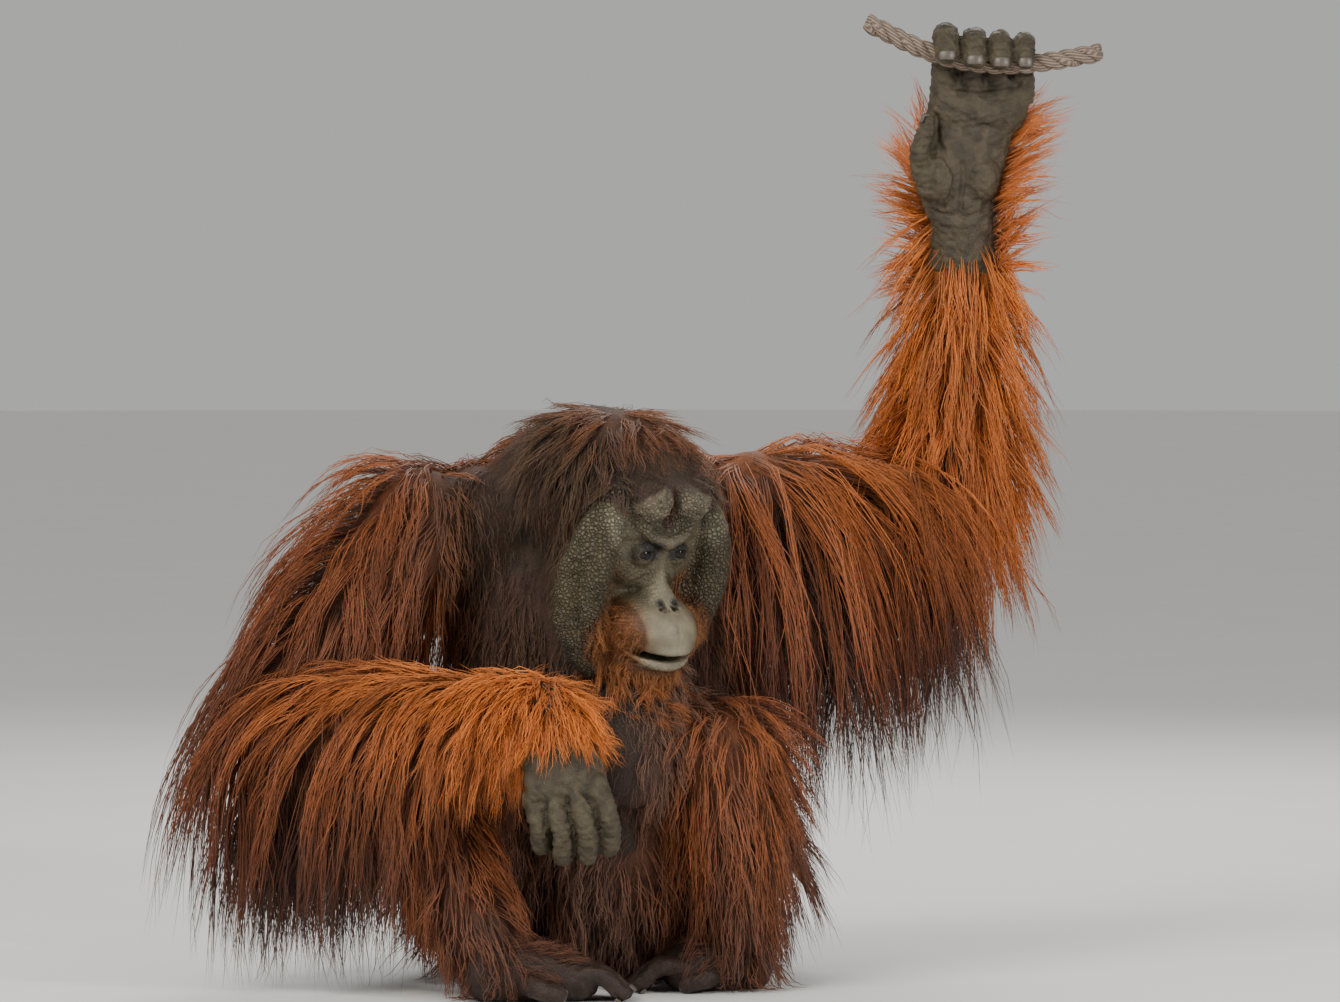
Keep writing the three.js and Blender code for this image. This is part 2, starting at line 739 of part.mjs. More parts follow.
const limbCoats = {
  arm: {
    right: {
      rows: [0.02, 0.31, 0.6, 0.88],
      around: 6,
      lie: (spot) => downward(spot, 1.5),
      length: (u) => 190 + 70 * u,
      width: 96,
      lift: 0.6,
      hang: 0.4,
      rise: 36,
      cling: 0.1,
      seed: 11,
      grows: facing(-0.7, 0.3, 0.6, -0.55),
    },
    left: {
      rows: [0.05, 0.34, 0.63, 0.92],
      around: 6,
      lie: (spot) => downward(spot, 0.4),
      length: (u) => 370 - 140 * u,
      width: 84,
      lift: 0.2,
      hang: 0.6,
      rise: 10,
      seed: 12,
      grows: everywhere,
    },
  },
  forearm: {
    right: {
      rows: [0.12, 0.38, 0.64, 0.88],
      around: 6,
      lie: (spot) => downward(spot, -0.7),
      length: () => 180,
      width: 86,
      lift: 0.55,
      hang: 0.4,
      rise: 30,
      seed: 13,
      grows: facing(0, -1, 0.4, -0.5),
    },
    left: {
      rows: [0.12, 0.37, 0.62, 0.87],
      around: 5,
      lie: (spot) => downward(spot, -0.4),
      length: () => 160,
      width: 98,
      hang: 0.1,
      rise: 30,
      cling: 0.2,
      lift: 0.55,
      seed: 14,
      grows: everywhere,
    },
  },
  hand: {
    right: {
      rows: [0.06, 0.4],
      around: 7,
      lie: (spot) => downward(spot, 0.4),
      length: () => 72,
      width: 42,
      steps: 3,
      rise: 6,
      seed: 15,
      grows: facing(0.2, -1, 0.2, 0.35),
    },
    left: {
      rows: [0.25, 0.6],
      around: 8,
      lie: ({ along }) => along,
      length: () => 84,
      width: 42,
      steps: 3,
      hang: 0,
      rise: 10,
      lift: 0.4,
      seed: 16,
      grows: facing(0.8, 0.7, 0, 0.35),
    },
  },
};
for (const name of Object.keys(SIDES)) {
  const arm = carrier(chest, shoulder[name]);
  const lower = carrier(arm, elbow[name]);
  const hand = carrier(lower, wrist[name]);
  node(`upper_arm_${name}`, arm, COLOURS.coat, [upperArm[name]], {
    grow: UNDERCOAT,
    locks: coat(upperArm[name], limbCoats.arm[name]),
  });
  node(`forearm_${name}`, lower, COLOURS.brightCoat, [forearm[name]], {
    grow: UNDERCOAT,
    locks: coat(forearm[name], limbCoats.forearm[name]),
  });
  node(`hand_${name}`, hand, COLOURS.hand, [palm[name]], { locks: coat(palm[name], limbCoats.hand[name]) });
  fingers[name].forEach((finger, i) => {
    node(`finger_${name}_${i + 1}`, carrier(hand, finger.spine.getPoint(0)), COLOURS.hand, [finger]);
  });
  node(`thumb_${name}`, carrier(hand, thumb[name].spine.getPoint(0)), COLOURS.hand, [thumb[name]]);
}
for (const name of Object.keys(SIDES)) {
  const leg = carrier(body, hip[name]);
  const lower = carrier(leg, knee[name]);
  const sole = carrier(lower, ankle[name]);
  node(`thigh_${name}`, leg, COLOURS.coat, [thigh[name]], {
    grow: UNDERCOAT,
    locks: coat(thigh[name], {
      rows: [0.5, 0.85],
      around: 7,
      lie: (spot) => downward(spot, 0.5),
      length: () => 120,
      width: 74,
      steps: 3,
      rise: 14,
      cling: 0.2,
      seed: 21,
      grows: facing(SIDES[name], 0, 0.5, -0.2),
    }),
  });
  node(`shank_${name}`, lower, COLOURS.coat, [shank[name]], {
    grow: UNDERCOAT,
    locks: coat(shank[name], {
      rows: [0.1, 0.5],
      around: 6,
      lie: (spot) => downward(spot, 0.6),
      length: () => 130,
      width: 68,
      steps: 3,
      rise: 12,
      cling: 0.2,
      seed: 23,
      grows: facing(SIDES[name], -1, 0, -0.4),
    }),
  });
  node(`foot_${name}`, sole, COLOURS.hand, [foot[name]]);
  toes[name].forEach((toe, i) => {
    node(`toe_${name}_${i + 1}`, carrier(sole, toe.spine.getPoint(0)), COLOURS.hand, [toe]);
  });
}

// Everything is cut level with the floor
const floor = solidOf(
  new THREE.BoxGeometry(2 * FLOOR_REACH, 2 * FLOOR_REACH, FLOOR_REACH).translate(0, 0, -FLOOR_REACH / 2),
);

// A node as one closed solid: its forms clear of the earlier nodes' forms, its locks clear of all the others
function build(spec, earlier) {
  const others = nodes.filter((other) => other !== spec);
  const before = wasm.Manifold.union(earlier.map((other) => other.keepOut));
  const core = spec.carve(join(spec.forms, spec.grow)).subtract(before);
  if (spec.locks.length === 0) return largest(core.subtract(floor));
  const neighbours = wasm.Manifold.union(others.map((other) => other.keepOut));
  const crossed = earlier.flatMap((other) => other.locks);
  const cleared = wasm.Manifold.union(crossed.map((lock) => lockSolid(lock, LOCK_GAP)));
  const locks = wasm.Manifold.union(spec.locks.map((lock) => lockSolid(lock)));
  return largest(core.add(locks.subtract(neighbours).subtract(cleared)).subtract(floor));
}

for (const spec of nodes) {
  spec.keepOut = join(spec.forms, spec.grow + GAP);
}
nodes.forEach((spec, i) => {
  const made = build(spec, nodes.slice(0, i)).getMesh();
  const geometry = new THREE.BufferGeometry();
  geometry.setAttribute("position", new THREE.BufferAttribute(new Float32Array(made.vertProperties), 3));
  geometry.setIndex(new THREE.BufferAttribute(new Uint32Array(made.triVerts), 1));
  geometry.applyMatrix4(spec.parent.matrixWorld.clone().invert());
  geometry.computeVertexNormals();
  const material = new THREE.MeshStandardMaterial({ color: spec.colour, roughness: 0.85, metalness: 0 });
  const mesh = new THREE.Mesh(geometry, material);
  mesh.name = spec.name;
  spec.parent.add(mesh);
});
body.position.y = -SEAT_DEPTH;

export default body;
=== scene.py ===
"""A life-size seated orangutan holding a short length of rope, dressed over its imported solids."""

import json
import math

import bmesh
import bpy
import numpy as np
from mathutils import Matrix, Vector
from mathutils.bvhtree import BVHTree
from mathutils.kdtree import KDTree

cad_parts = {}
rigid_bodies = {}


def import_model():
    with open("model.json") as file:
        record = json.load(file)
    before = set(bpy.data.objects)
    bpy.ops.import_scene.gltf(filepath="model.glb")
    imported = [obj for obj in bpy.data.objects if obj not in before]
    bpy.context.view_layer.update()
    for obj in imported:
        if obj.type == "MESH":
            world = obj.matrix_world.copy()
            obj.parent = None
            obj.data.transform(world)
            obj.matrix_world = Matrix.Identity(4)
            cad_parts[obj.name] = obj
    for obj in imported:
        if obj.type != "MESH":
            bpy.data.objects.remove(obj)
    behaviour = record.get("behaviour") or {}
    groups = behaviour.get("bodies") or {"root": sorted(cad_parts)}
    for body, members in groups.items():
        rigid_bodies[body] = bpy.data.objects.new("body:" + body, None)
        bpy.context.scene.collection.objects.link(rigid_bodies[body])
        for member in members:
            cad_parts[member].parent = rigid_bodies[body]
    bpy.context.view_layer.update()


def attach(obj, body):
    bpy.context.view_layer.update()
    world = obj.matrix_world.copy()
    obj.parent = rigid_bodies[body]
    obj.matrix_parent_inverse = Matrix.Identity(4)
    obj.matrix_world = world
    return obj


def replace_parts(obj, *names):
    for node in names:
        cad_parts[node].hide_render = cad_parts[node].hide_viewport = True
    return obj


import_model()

bl_info = {
    "name": "Seated orangutan",
    "version": (1, 0, 0),
    "blender": (4, 5, 0),
    "location": "3D View > Sidebar > Orangutan",
    "description": "Builds a life-size seated orangutan over its packed solids",
    "category": "Add Mesh",
}

MM = 0.001

# The body's places are in millimetres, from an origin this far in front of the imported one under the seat
SEAT_DEPTH = 135

HEAD_TURN = math.radians(38)
HEAD_NOD = math.radians(22)
CHEST_TURN = math.radians(16)

# Sizes in millimetres
ROPE_RADIUS = 12
GRIP_RADIUS = 27.5
FINGER_RADIUS = 13.2
FINGER_TAPER = 0.5
TOE_RADIUS = 11
TOE_SPACING = 20
TOE_LENGTH = 56
EYE_RADIUS = 12.3
EYE_SPACING = 52
LID_THICKNESS = 3.4
CUFF_THICKNESS = 0.6
GIRTH_PITCH = 40

# Rows of faces along a limb and over each of its ends
LIMB_STEPS = 24
CAP_ROWS = 4

# Sizes in metres: the even faces of each skin, and the least height of a skin over the floor
HEAD_VOXEL = 0.0023
BODY_VOXEL = 0.0086
HAND_VOXEL = 0.0024
FLOOR_GAP = 0.0004

SIDES = {"right": -1, "left": 1}

SHOULDER = {"right": (-226, -5, 556), "left": (152, 92, 566)}
ELBOW = {"right": (-416, -112, 298), "left": (404, 278, 545)}
WRIST = {"right": (-74, -282, 345), "left": (419, 180, 915)}
HIP = {"right": (-92, 130, 112), "left": (94, 160, 112)}
KNEE = {"right": (-230, -112, 203), "left": (116, -98, 296)}
ANKLE = {"right": (-152, -232, 55), "left": (144, -112, 60)}
BETWEEN_EYES = (46, -185, 523)

HEAD_AXES = Matrix.Rotation(HEAD_TURN, 4, "Z") @ Matrix.Rotation(HEAD_NOD, 4, "X")
HEAD_PLACE = Matrix.Translation(BETWEEN_EYES) @ HEAD_AXES


def to_frame(places):
    """The body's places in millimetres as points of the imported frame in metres."""
    return (np.asarray(places, float) - (0, SEAT_DEPTH, 0)) * MM


def from_frame(points):
    """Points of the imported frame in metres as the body's places in millimetres."""
    return np.asarray(points, float) / MM + (0, SEAT_DEPTH, 0)


def to_head(points):
    """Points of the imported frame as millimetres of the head's own frame, where -Y is the way it looks."""
    inverse = np.array(HEAD_PLACE.inverted())
    return from_frame(points) @ inverse[:3, :3].T + inverse[:3, 3]


def in_head(x, y, z):
    """A place of the head's own frame as a place of the body."""
    return tuple(HEAD_PLACE @ Vector((x, y, z)))


def head_way(x, y, z):
    """A direction of the head's own frame."""
    return tuple((HEAD_AXES @ Vector((x, y, z, 0))).xyz)


def unit(vectors):
    """Vectors scaled to length one."""
    vectors = np.asarray(vectors, float)
    return vectors / np.maximum(np.linalg.norm(vectors, axis=-1, keepdims=True), 1e-12)


def dots(a, b):
    """Row by row dot products, kept as a column."""
    return np.sum(a * b, axis=-1, keepdims=True)


def smooth_step(start, end, value):
    """A soft step from 0 at start to 1 at end, where either may be the greater."""
    share = np.clip((value - start) / (end - start), 0, 1)
    return share * share * (3 - 2 * share)


def linear(red, green, blue):
    """A colour named by its 0 to 255 screen values, as linear light."""
    return tuple(((c / 255 + 0.055) / 1.055) ** 2.4 for c in (red, green, blue))


def spline(points, share):
    """The place at a share of the spans of a centripetal curve through points."""
    last = len(points) - 1
    span = min(int(share * last), last - 1)
    p1, p2 = points[span], points[span + 1]
    p0 = points[span - 1] if span > 0 else 2 * p1 - p2
    p3 = points[span + 2] if span + 2 <= last else 2 * p2 - p1
    steps = [np.linalg.norm(b - a) ** 0.5 for a, b in ((p0, p1), (p1, p2), (p2, p3))]
    t0, t1, t2, t3 = np.cumsum([0.0] + steps)
    t = t1 + (share * last - span) * (t2 - t1)

    def between(a, b, start, end):
        return a + (b - a) * ((t - start) / (end - start))

    a1, a2, a3 = between(p0, p1, t0, t1), between(p1, p2, t1, t2), between(p2, p3, t2, t3)
    return between(between(a1, a2, t0, t2), between(a2, a3, t1, t3), t1, t2)


class Limb:
    """A length of body along a spine of stations (x, y, z, half-width, half-depth), with rounded ends."""

    def __init__(self, side, stations, cap=0.7, sides=24, steps=LIMB_STEPS):
        places = to_frame([station[:3] for station in stations])
        girths = [(station[3], station[-1], GIRTH_PITCH * k) for k, station in enumerate(stations)]
        girths = np.array(girths, float)
        shares = np.linspace(0, 1, steps + 1)
        self.cap = cap
        self.sides = sides
        self.steps = steps
        self.centre = np.array([spline(places, share) for share in shares])
        self.along = unit(np.gradient(self.centre, axis=0))
        side = np.array(side, float)
        self.across = unit(side - self.along * dots(self.along, side))
        self.deep = np.cross(self.along, self.across)
        self.width, self.depth = np.array([spline(girths, share)[:2] for share in shares]).T * MM

    def add_to(self, bm):
        """Bends a round ball of rows into the limb."""
        rows = self.steps + 2 * CAP_ROWS
        made = bmesh.ops.create_uvsphere(bm, u_segments=self.sides, v_segments=rows, radius=1)
        for vert in made["verts"]:
            row = round(math.acos(max(-1, min(1, vert.co.z))) / math.pi * rows)
            turn = math.atan2(vert.co.y, vert.co.x)
            before, after = max(0, CAP_ROWS - row), max(0, row - rows + CAP_ROWS)
            closing = (before + after) / CAP_ROWS * math.pi / 2
            k = min(max(row - CAP_ROWS, 0), self.steps)
            reach = math.sin(closing) * self.cap * (self.width[k] + self.depth[k]) / 2
            at = self.centre[k] + self.along[k] * (reach if after else -reach)
            at = at + self.across[k] * math.cos(turn) * math.cos(closing) * self.width[k]
            vert.co = Vector(at + self.deep[k] * math.sin(turn) * math.cos(closing) * self.depth[k])


class Mass:
    """A rounded mass with half-sizes in a turned frame."""

    def __init__(self, centre, radii, axes=Matrix.Identity(4), sides=24):
        spread = axes.to_3x3() @ Matrix.Diagonal(radii) * MM
        self.place = Matrix.Translation(to_frame(centre)) @ spread.to_4x4()
        self.sides = sides

    def add_to(self, bm):
        """Adds the mass as a scaled and turned ball."""
        rows = self.sides // 2 + 4
        bmesh.ops.create_uvsphere(bm, u_segments=self.sides, v_segments=rows, radius=1, matrix=self.place)


def head_mass(x, y, z, radii, sides=24):
    """A mass placed and turned in the head's own frame."""
    return Mass(in_head(x, y, z), radii, HEAD_AXES, sides)


def head_limb(stations, side=(1, 0, 0), **options):
    """A limb whose stations are in the head's own frame."""
    placed = [(*in_head(*station[:3]), *station[3:]) for station in stations]
    return Limb(head_way(*side), placed, **options)


def mass_pair(x, y, z, radii):
    """Two like masses of the head, right and left."""
    return [head_mass(sign * x, y, z, radii) for sign in SIDES.values()]


def limb_pair(stations, **options):
    """Two like limbs of the head, right and left."""
    return [head_limb([(sign * x, *rest) for x, *rest in stations], **options) for sign in SIDES.values()]


def mirrored(stations):
    """Stations right across the head, from those of its left half, the middle one first."""
    return [(-x, *rest) for x, *rest in reversed(stations[1:])] + stations


def between(start, end, sizes):
    """Stations on the way between two joints, each from (share of the way, half-width, half-depth)."""
    start, end = np.array(start, float), np.array(end, float)
    return [(*(start + (end - start) * size[0]), size[1], size[-1]) for size in sizes]


TRUNK = Limb(
    (math.cos(CHEST_TURN), math.sin(CHEST_TURN), 0),
    [
        (0, 140, 62, 142, 122),
        (0, 104, 160, 164, 140),
        (-8, 72, 265, 172, 142),
        (-22, 58, 380, 176, 138),
        (-38, 58, 480, 172, 122),
        (-46, 62, 545, 140, 96),
    ],
    cap=0.62,
)
BELLY = Mass((8, -8, 172), (112, 118, 142))
SHOULDER_BALLS = {
    "right": Mass((-170, 20, 542), (92, 82, 78)),
    "left": Mass((100, 82, 556), (84, 78, 72)),
}
NAPE = Limb(
    (0.5, 0.85, 0),
    [(-110, 70, 545, 84), (-82, 28, 582, 82), (-42, -32, 602, 78), (4, -88, 600, 72)],
)
THROAT = Limb((1, 0, 0), [(-36, 0, 470, 88, 80), (-18, -45, 500, 78, 72), (2, -85, 530, 62, 56)])
THROAT_SAC = Limb(
    head_way(1, 0, 0),
    [(24, -122, 372, 62, 46), (20, -146, 326, 60, 46), (15, -164, 276, 55, 44), (12, -168, 246, 43, 36)],
)
UPPER_ARM = {
    "right": Limb(
        (0.5, -0.8, -0.3),
        between(SHOULDER["right"], ELBOW["right"], [(0, 76), (0.3, 72), (0.62, 62), (0.9, 55), (1, 52)]),
    ),
    "left": Limb(
        (-0.5, 0.7, 0),
        between(SHOULDER["left"], ELBOW["left"], [(0, 70), (0.3, 70), (0.65, 62), (0.92, 56), (1, 53)]),
    ),
}
FOREARM = {
    "right": Limb(
        (-0.4, -0.9, 0),
        between(
            ELBOW["right"],
            WRIST["right"],
            [(0, 55), (0.22, 62, 60), (0.52, 54, 52), (0.82, 40, 38), (1, 34, 30)],
        ),
    ),
    "left": Limb(
        (1, 0, 0),
        between(
            ELBOW["left"],
            WRIST["left"],
            [(0, 55), (0.24, 62, 60), (0.54, 54, 50), (0.85, 42, 35), (1, 40, 30)],
        ),
    ),
}
PALM = {
    "right": Limb(
        (0.85, 0.1, 0.42),
        [
            (*WRIST["right"], 34, 28),
            (-70, -302, 306, 41, 25),
            (-64, -316, 270, 46, 22),
            (-61, -320, 250, 44, 18),
        ],
        cap=0.4,
    ),
    "left": Limb(
        (0.98, 0, -0.15),
        [
            (*WRIST["left"], 39, 29),
            (412, 173, 950, 48, 27),
            (421, 168, 1005, 53, 24),
            (433, 164, 1070, 57, 18),
        ],
        cap=0.3,
    ),
}
PALM_MUSCLES = {
    "right": [],
    "left": [
        Mass((392, 156, 966), (22, 21, 33)),
        Mass((441, 157, 964), (21, 20, 28)),
        Mass((430, 152, 1050), (50, 14, 26)),
        Mass((438, 166, 1084), (60, 16, 26)),
        Mass((474, 162, 1060), (24, 18, 40)),
    ],
}
ROPE_LINE = [(300, 128, 1153), (378, 128, 1117), (438, 128, 1104), (500, 128, 1104), (582, 128, 1117)]


def rope_height(x):
    """The height of the rope's middle at x."""
    line = np.array(ROPE_LINE, float)
    return spline(line, (x - line[0, 0]) / (line[-1, 0] - line[0, 0]))[2]


def hooked_finger(x, radius):
    """A finger bent over the rope, from behind it over the top to its front."""
    turns = [math.radians(a) for a in (0, 45, 90, 130, 160, 176)]
    middle = rope_height(x)
    hook = [
        (
            x,
            ROPE_LINE[0][1] + GRIP_RADIUS * math.cos(a),
            middle + GRIP_RADIUS * math.sin(a),
            radius - FINGER_TAPER * k,
        )
        for k, a in enumerate(turns)
    ]
    return Limb((1, 0, 0), [(x, 162, 1062, radius), *hook], sides=16)


def hanging_finger(places):
    """A relaxed finger through four places."""
    stations = [(*place, FINGER_RADIUS - FINGER_TAPER * k) for k, place in enumerate(places)]
    return Limb((1, 0, 0), stations, sides=16)


FINGERS = {
    "left": [hooked_finger(x, radius) for x, radius in ((395, 17.2), (429, 17.6), (461, 16.8), (490, 14.4))],
    "right": [
        hanging_finger(places)
        for places in (
            [(-26, -322, 264), (-10, -338, 218), (-10, -322, 188), (-18, -296, 190)],
            [(-50, -328, 250), (-36, -344, 206), (-36, -324, 178), (-40, -298, 184)],
            [(-76, -322, 244), (-64, -338, 202), (-64, -316, 176), (-64, -290, 184)],
            [(-99, -310, 246), (-91, -324, 210), (-89, -302, 188), (-86, -280, 196)],
        )
    ],
}
THUMB = {
    "left": Limb((0, 1, 0), [(378, 160, 952, 17), (364, 148, 992, 13.5), (376, 138, 1034, 11)], sides=16),
    "right": Limb((0, 1, 0), [(-46, -272, 312, 15), (-26, -262, 268, 13), (-28, -266, 228, 10.5)], sides=16),
}
THIGH = {
    "right": Limb(
        (0.3, 0, 1),
        between(HIP["right"], KNEE["right"], [(0, 106, 100), (0.42, 92, 88), (0.86, 68, 66), (1, 60, 58)]),
    ),
    "left": Limb(
        (1, 0, 0),
        between(HIP["left"], KNEE["left"], [(0, 100), (0.42, 88), (0.86, 68, 66), (1, 61, 58)]),
    ),
}
SHANK = {
    "right": Limb(
        (1, 0, 0),
        between(KNEE["right"], ANKLE["right"], [(0, 58), (0.35, 54), (0.75, 42), (1, 36)]),
    ),
    "left": Limb(
        (1, 0, 0),
        between(KNEE["left"], ANKLE["left"], [(0, 60), (0.35, 56), (0.75, 44), (1, 37)]),
    ),
}
FOOT = {
    "right": Limb((0, 1, 0), [(-158, -242, 32, 30, 34), (-105, -244, 32, 36, 34), (-46, -232, 26, 40, 27)]),
    "left": Limb((0, 1, 0), [(160, -92, 32, 30, 34), (116, -112, 32, 36, 34), (74, -124, 26, 40, 27)]),
}
BALL_OF_FOOT = {"right": (-46, -232), "left": (74, -124)}


def toes_of(side):
    """Four toes curled down to the floor from the ball of the foot, then the big toe beside the heel."""
    root_x, root_y = BALL_OF_FOOT[side]
    forward = -SIDES[side]
    toes = []
    for i in range(4):
        y = root_y + (i - 1.5) * TOE_SPACING
        tip = root_x + forward * (TOE_LENGTH - 5 * abs(i - 1))
        stations = [
            (root_x - forward * 8, y, 30, TOE_RADIUS),
            ((root_x + tip) / 2, y, 31, TOE_RADIUS),
            (tip, y, TOE_RADIUS - 0.5, TOE_RADIUS - 1),
        ]
        toes.append(Limb((0, 1, 0), stations, sides=14))
    x, y, _ = from_frame(FOOT[side].centre[round(0.4 * LIMB_STEPS)])
    stations = [
        (x, y - 22, 26, TOE_RADIUS + 3),
        (x + forward * 24, y - 47, 18, TOE_RADIUS + 2),
        (x + forward * 46, y - 50, TOE_RADIUS, TOE_RADIUS),
    ]
    return [*toes, Limb((0, 1, 0), stations, sides=14)]


TOES = {side: toes_of(side) for side in SIDES}

UPWARD = (0, 0, 1)
BROW_FOLD = [(0, -13, 18, 9), (16, -11, 22, 9), (31, -6, 31, 8), (42, 4, 42, 7)]
HEAD_FORMS = [
    head_mass(0, 88, 50, (82, 98, 84)),
    head_mass(0, 148, 44, (82, 78, 74)),
    head_mass(0, 52, -40, (84, 44, 104)),
    head_mass(0, 20, -10, (64, 30, 46)),
    *mass_pair(28, 3, 66, (29, 26, 27)),
    head_limb(mirrored(BROW_FOLD), side=UPWARD),
    *limb_pair([(58, 16, 18, 9), (40, 4, 26, 9), (22, 0, 28, 9)], side=UPWARD),
    head_mass(0, -16, -84, (56, 62, 38), 40),
    head_mass(0, -13, -46, (19, 22, 20)),
    *mass_pair(11, -26, -50, (10, 12, 10)),
    head_limb([(0, 0, 10, 9, 12), (0, -4, -20, 11, 14), (0, -12, -42, 15, 16)]),
    head_mass(0, -10, -128, (48, 52, 28), 40),
    head_mass(0, 0, -152, (46, 42, 34)),
]
LIP_LINES = [
    [(0, -76, -96, 5), (20, -71, -96, 5), (40, -50, -97, 4.5), (47, -26, -99, 4)],
    [(0, -67, -115, 8.5), (20, -62, -114, 8), (38, -46, -111, 7), (44, -24, -108, 5)],
]
LIPS = [head_limb(mirrored(line), side=UPWARD, sides=12) for line in LIP_LINES]
PADS = limb_pair(
    [
        (52, 26, 68, 22, 18),
        (74, 20, 26, 30, 20),
        (85, 20, -22, 36, 22),
        (84, 15, -78, 36, 22),
        (66, 8, -120, 30, 20),
        (46, 4, -146, 22, 16),
    ]
)
PAD_BULGES = limb_pair([(70, 6, 44, 16), (84, 2, 6, 21, 19), (88, 0, -52, 23, 20), (72, 0, -108, 18)])
EARS = mass_pair(68, 86, 2, (11, 14, 20))
LIDS = mass_pair(EYE_SPACING / 2, 0, 0, [EYE_RADIUS + LID_THICKNESS] * 3)

# What is cut out of the head
ORBITS = mass_pair(27, -18, 1, (20, 24, 13.5))
EAR_CUPS = mass_pair(78, 80, 2, (6, 8, 13))
LID_OPENINGS = mass_pair(EYE_SPACING / 2, -14, 2, (10.5, 9.5, 5))
NOSTRILS = [
    *limb_pair([(15, -34, -44, 6), (10.5, -40, -51, 8), (6, -48, -58, 5.5)]),
    *mass_pair(10.5, -26, -50, (7.5, 20, 8)),
]
MOUTH_GAP = head_mass(0, -48, -104, (54, 42, 6), 40)

BODY_FORMS = {
    "trunk": TRUNK,
    "nape": NAPE,
    "throat": THROAT,
    "throat_sac": THROAT_SAC,
    **{f"upper_arm_{side}": UPPER_ARM[side] for side in SIDES},
    **{f"forearm_{side}": FOREARM[side] for side in SIDES},
    **{f"thigh_{side}": THIGH[side] for side in SIDES},
    **{f"shank_{side}": SHANK[side] for side in SIDES},
}


def finished(name, mesh, material):
    """Links a mesh as a piece of the object, with its finish."""
    piece = bpy.data.objects.new(name, mesh)
    bpy.context.scene.collection.objects.link(piece)
    piece.data.materials.clear()
    piece.data.materials.append(material)
    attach(piece, "root")
    return piece


def mesh_of(name, bm):
    """A bmesh as a smooth mesh that faces outwards."""
    bmesh.ops.recalc_face_normals(bm, faces=bm.faces)
    mesh = bpy.data.meshes.new(name)
    bm.to_mesh(mesh)
    bm.free()
    mesh.polygons.foreach_set("use_smooth", np.ones(len(mesh.polygons), bool))
    return mesh


def forms_mesh(name, forms):
    """Forms as one mesh of closed, overlapping shells."""
    bm = bmesh.new()
    for form in forms:
        form.add_to(bm)
    return mesh_of(name, bm)


def modified(mesh, *modifiers):
    """The mesh after modifiers, each given as (kind, settings)."""
    carrier = bpy.data.objects.new("carrier", mesh)
    bpy.context.scene.collection.objects.link(carrier)
    for kind, settings in modifiers:
        modifier = carrier.modifiers.new(kind.lower(), kind)
        for key, value in settings.items():
            setattr(modifier, key, value)
    bpy.context.view_layer.update()
    result = bpy.data.meshes.new_from_object(carrier.evaluated_get(bpy.context.evaluated_depsgraph_get()))
    result.name = mesh.name
    bpy.data.objects.remove(carrier)
    result.polygons.foreach_set("use_smooth", np.ones(len(result.polygons), bool))
    return result


def fused(mesh, voxel, smoothing):
    """Overlapping shells fused to one skin of even faces, with their creases smoothed."""
    return modified(
        mesh,
        ("REMESH", {"mode": "VOXEL", "voxel_size": voxel, "use_smooth_shade": True}),
        ("SMOOTH", {"factor": 0.5, "iterations": smoothing}),
    )


def carved(mesh, forms):
    """The mesh without the space of the forms."""
    cutter = bpy.data.objects.new("cutter", forms_mesh("cutter", forms))
    bpy.context.scene.collection.objects.link(cutter)
    result = modified(mesh, ("BOOLEAN", {"operation": "DIFFERENCE", "solver": "MANIFOLD", "object": cutter}))
    bpy.data.objects.remove(cutter)
    return result


def joined(name, meshes):
    """Several meshes as one, each left as it is."""
    bm = bmesh.new()
    for mesh in meshes:
        bm.from_mesh(mesh)
    result = bpy.data.meshes.new(name)
    bm.to_mesh(result)
    bm.free()
    result.polygons.foreach_set("use_smooth", np.ones(len(result.polygons), bool))
    return result


def places_of(mesh):
    """A mesh's vertex places as an array."""
    flat = np.zeros(len(mesh.vertices) * 3)
    mesh.vertices.foreach_get("co", flat)
    return flat.reshape(-1, 3)


def normals_of(mesh):
    """A mesh's vertex normals as an array."""
    flat = np.zeros(len(mesh.vertices) * 3, np.float32)
    mesh.vertex_normals.foreach_get("vector", flat)
    return flat.reshape(-1, 3).astype(float)


def move_to(mesh, places):
    """Sets a mesh's vertex places."""
    mesh.vertices.foreach_set("co", places.astype(np.float32).ravel())
    mesh.update()


def set_down(mesh):
    """Flattens what would reach below the floor."""
    places = places_of(mesh)
    places[:, 2] = np.maximum(places[:, 2], FLOOR_GAP)
    move_to(mesh, places)


def paint(mesh, name, colours):
    """Stores a colour for each vertex, which the materials read."""
    rgba = np.ones((len(colours), 4), np.float32)
    rgba[:, :3] = colours
    layer = mesh.color_attributes.new(name, "FLOAT_COLOR", "POINT")
    layer.data.foreach_set("color", rgba.ravel())


def weigh(mesh, name, values):
    """Stores a number for each vertex, which the materials read."""
    layer = mesh.attributes.new(name, "FLOAT", "POINT")
    layer.data.foreach_set("value", np.asarray(values, np.float32).ravel())


WAVES = 7


def ripple(places, scale, seed):
    """Smooth, repeatable noise from -1 to 1 at places, from crossing waves of about the given length."""
    random = np.random.default_rng(seed)
    total = np.zeros(len(places))
    for _ in range(WAVES):
        way = unit(random.normal(size=3))
        length = scale * random.uniform(0.7, 1.6)
        total += np.sin(places @ way * (2 * math.pi / length) + random.uniform(0, 2 * math.pi))
    return np.tanh(total / 2.2)


def near(places, centre, radii):
    """1 at a centre, falling softly to 0 at an ellipsoid's surface."""
    distance = np.linalg.norm((places - np.array(centre, float)) / np.array(radii, float), axis=1)
    return 1 - smooth_step(0.45, 1, distance)


def blend_colours(colours, tone, share):
    """Colours moved towards a tone by a share for each row."""
    return colours + (np.array(tone) - colours) * share[:, None]


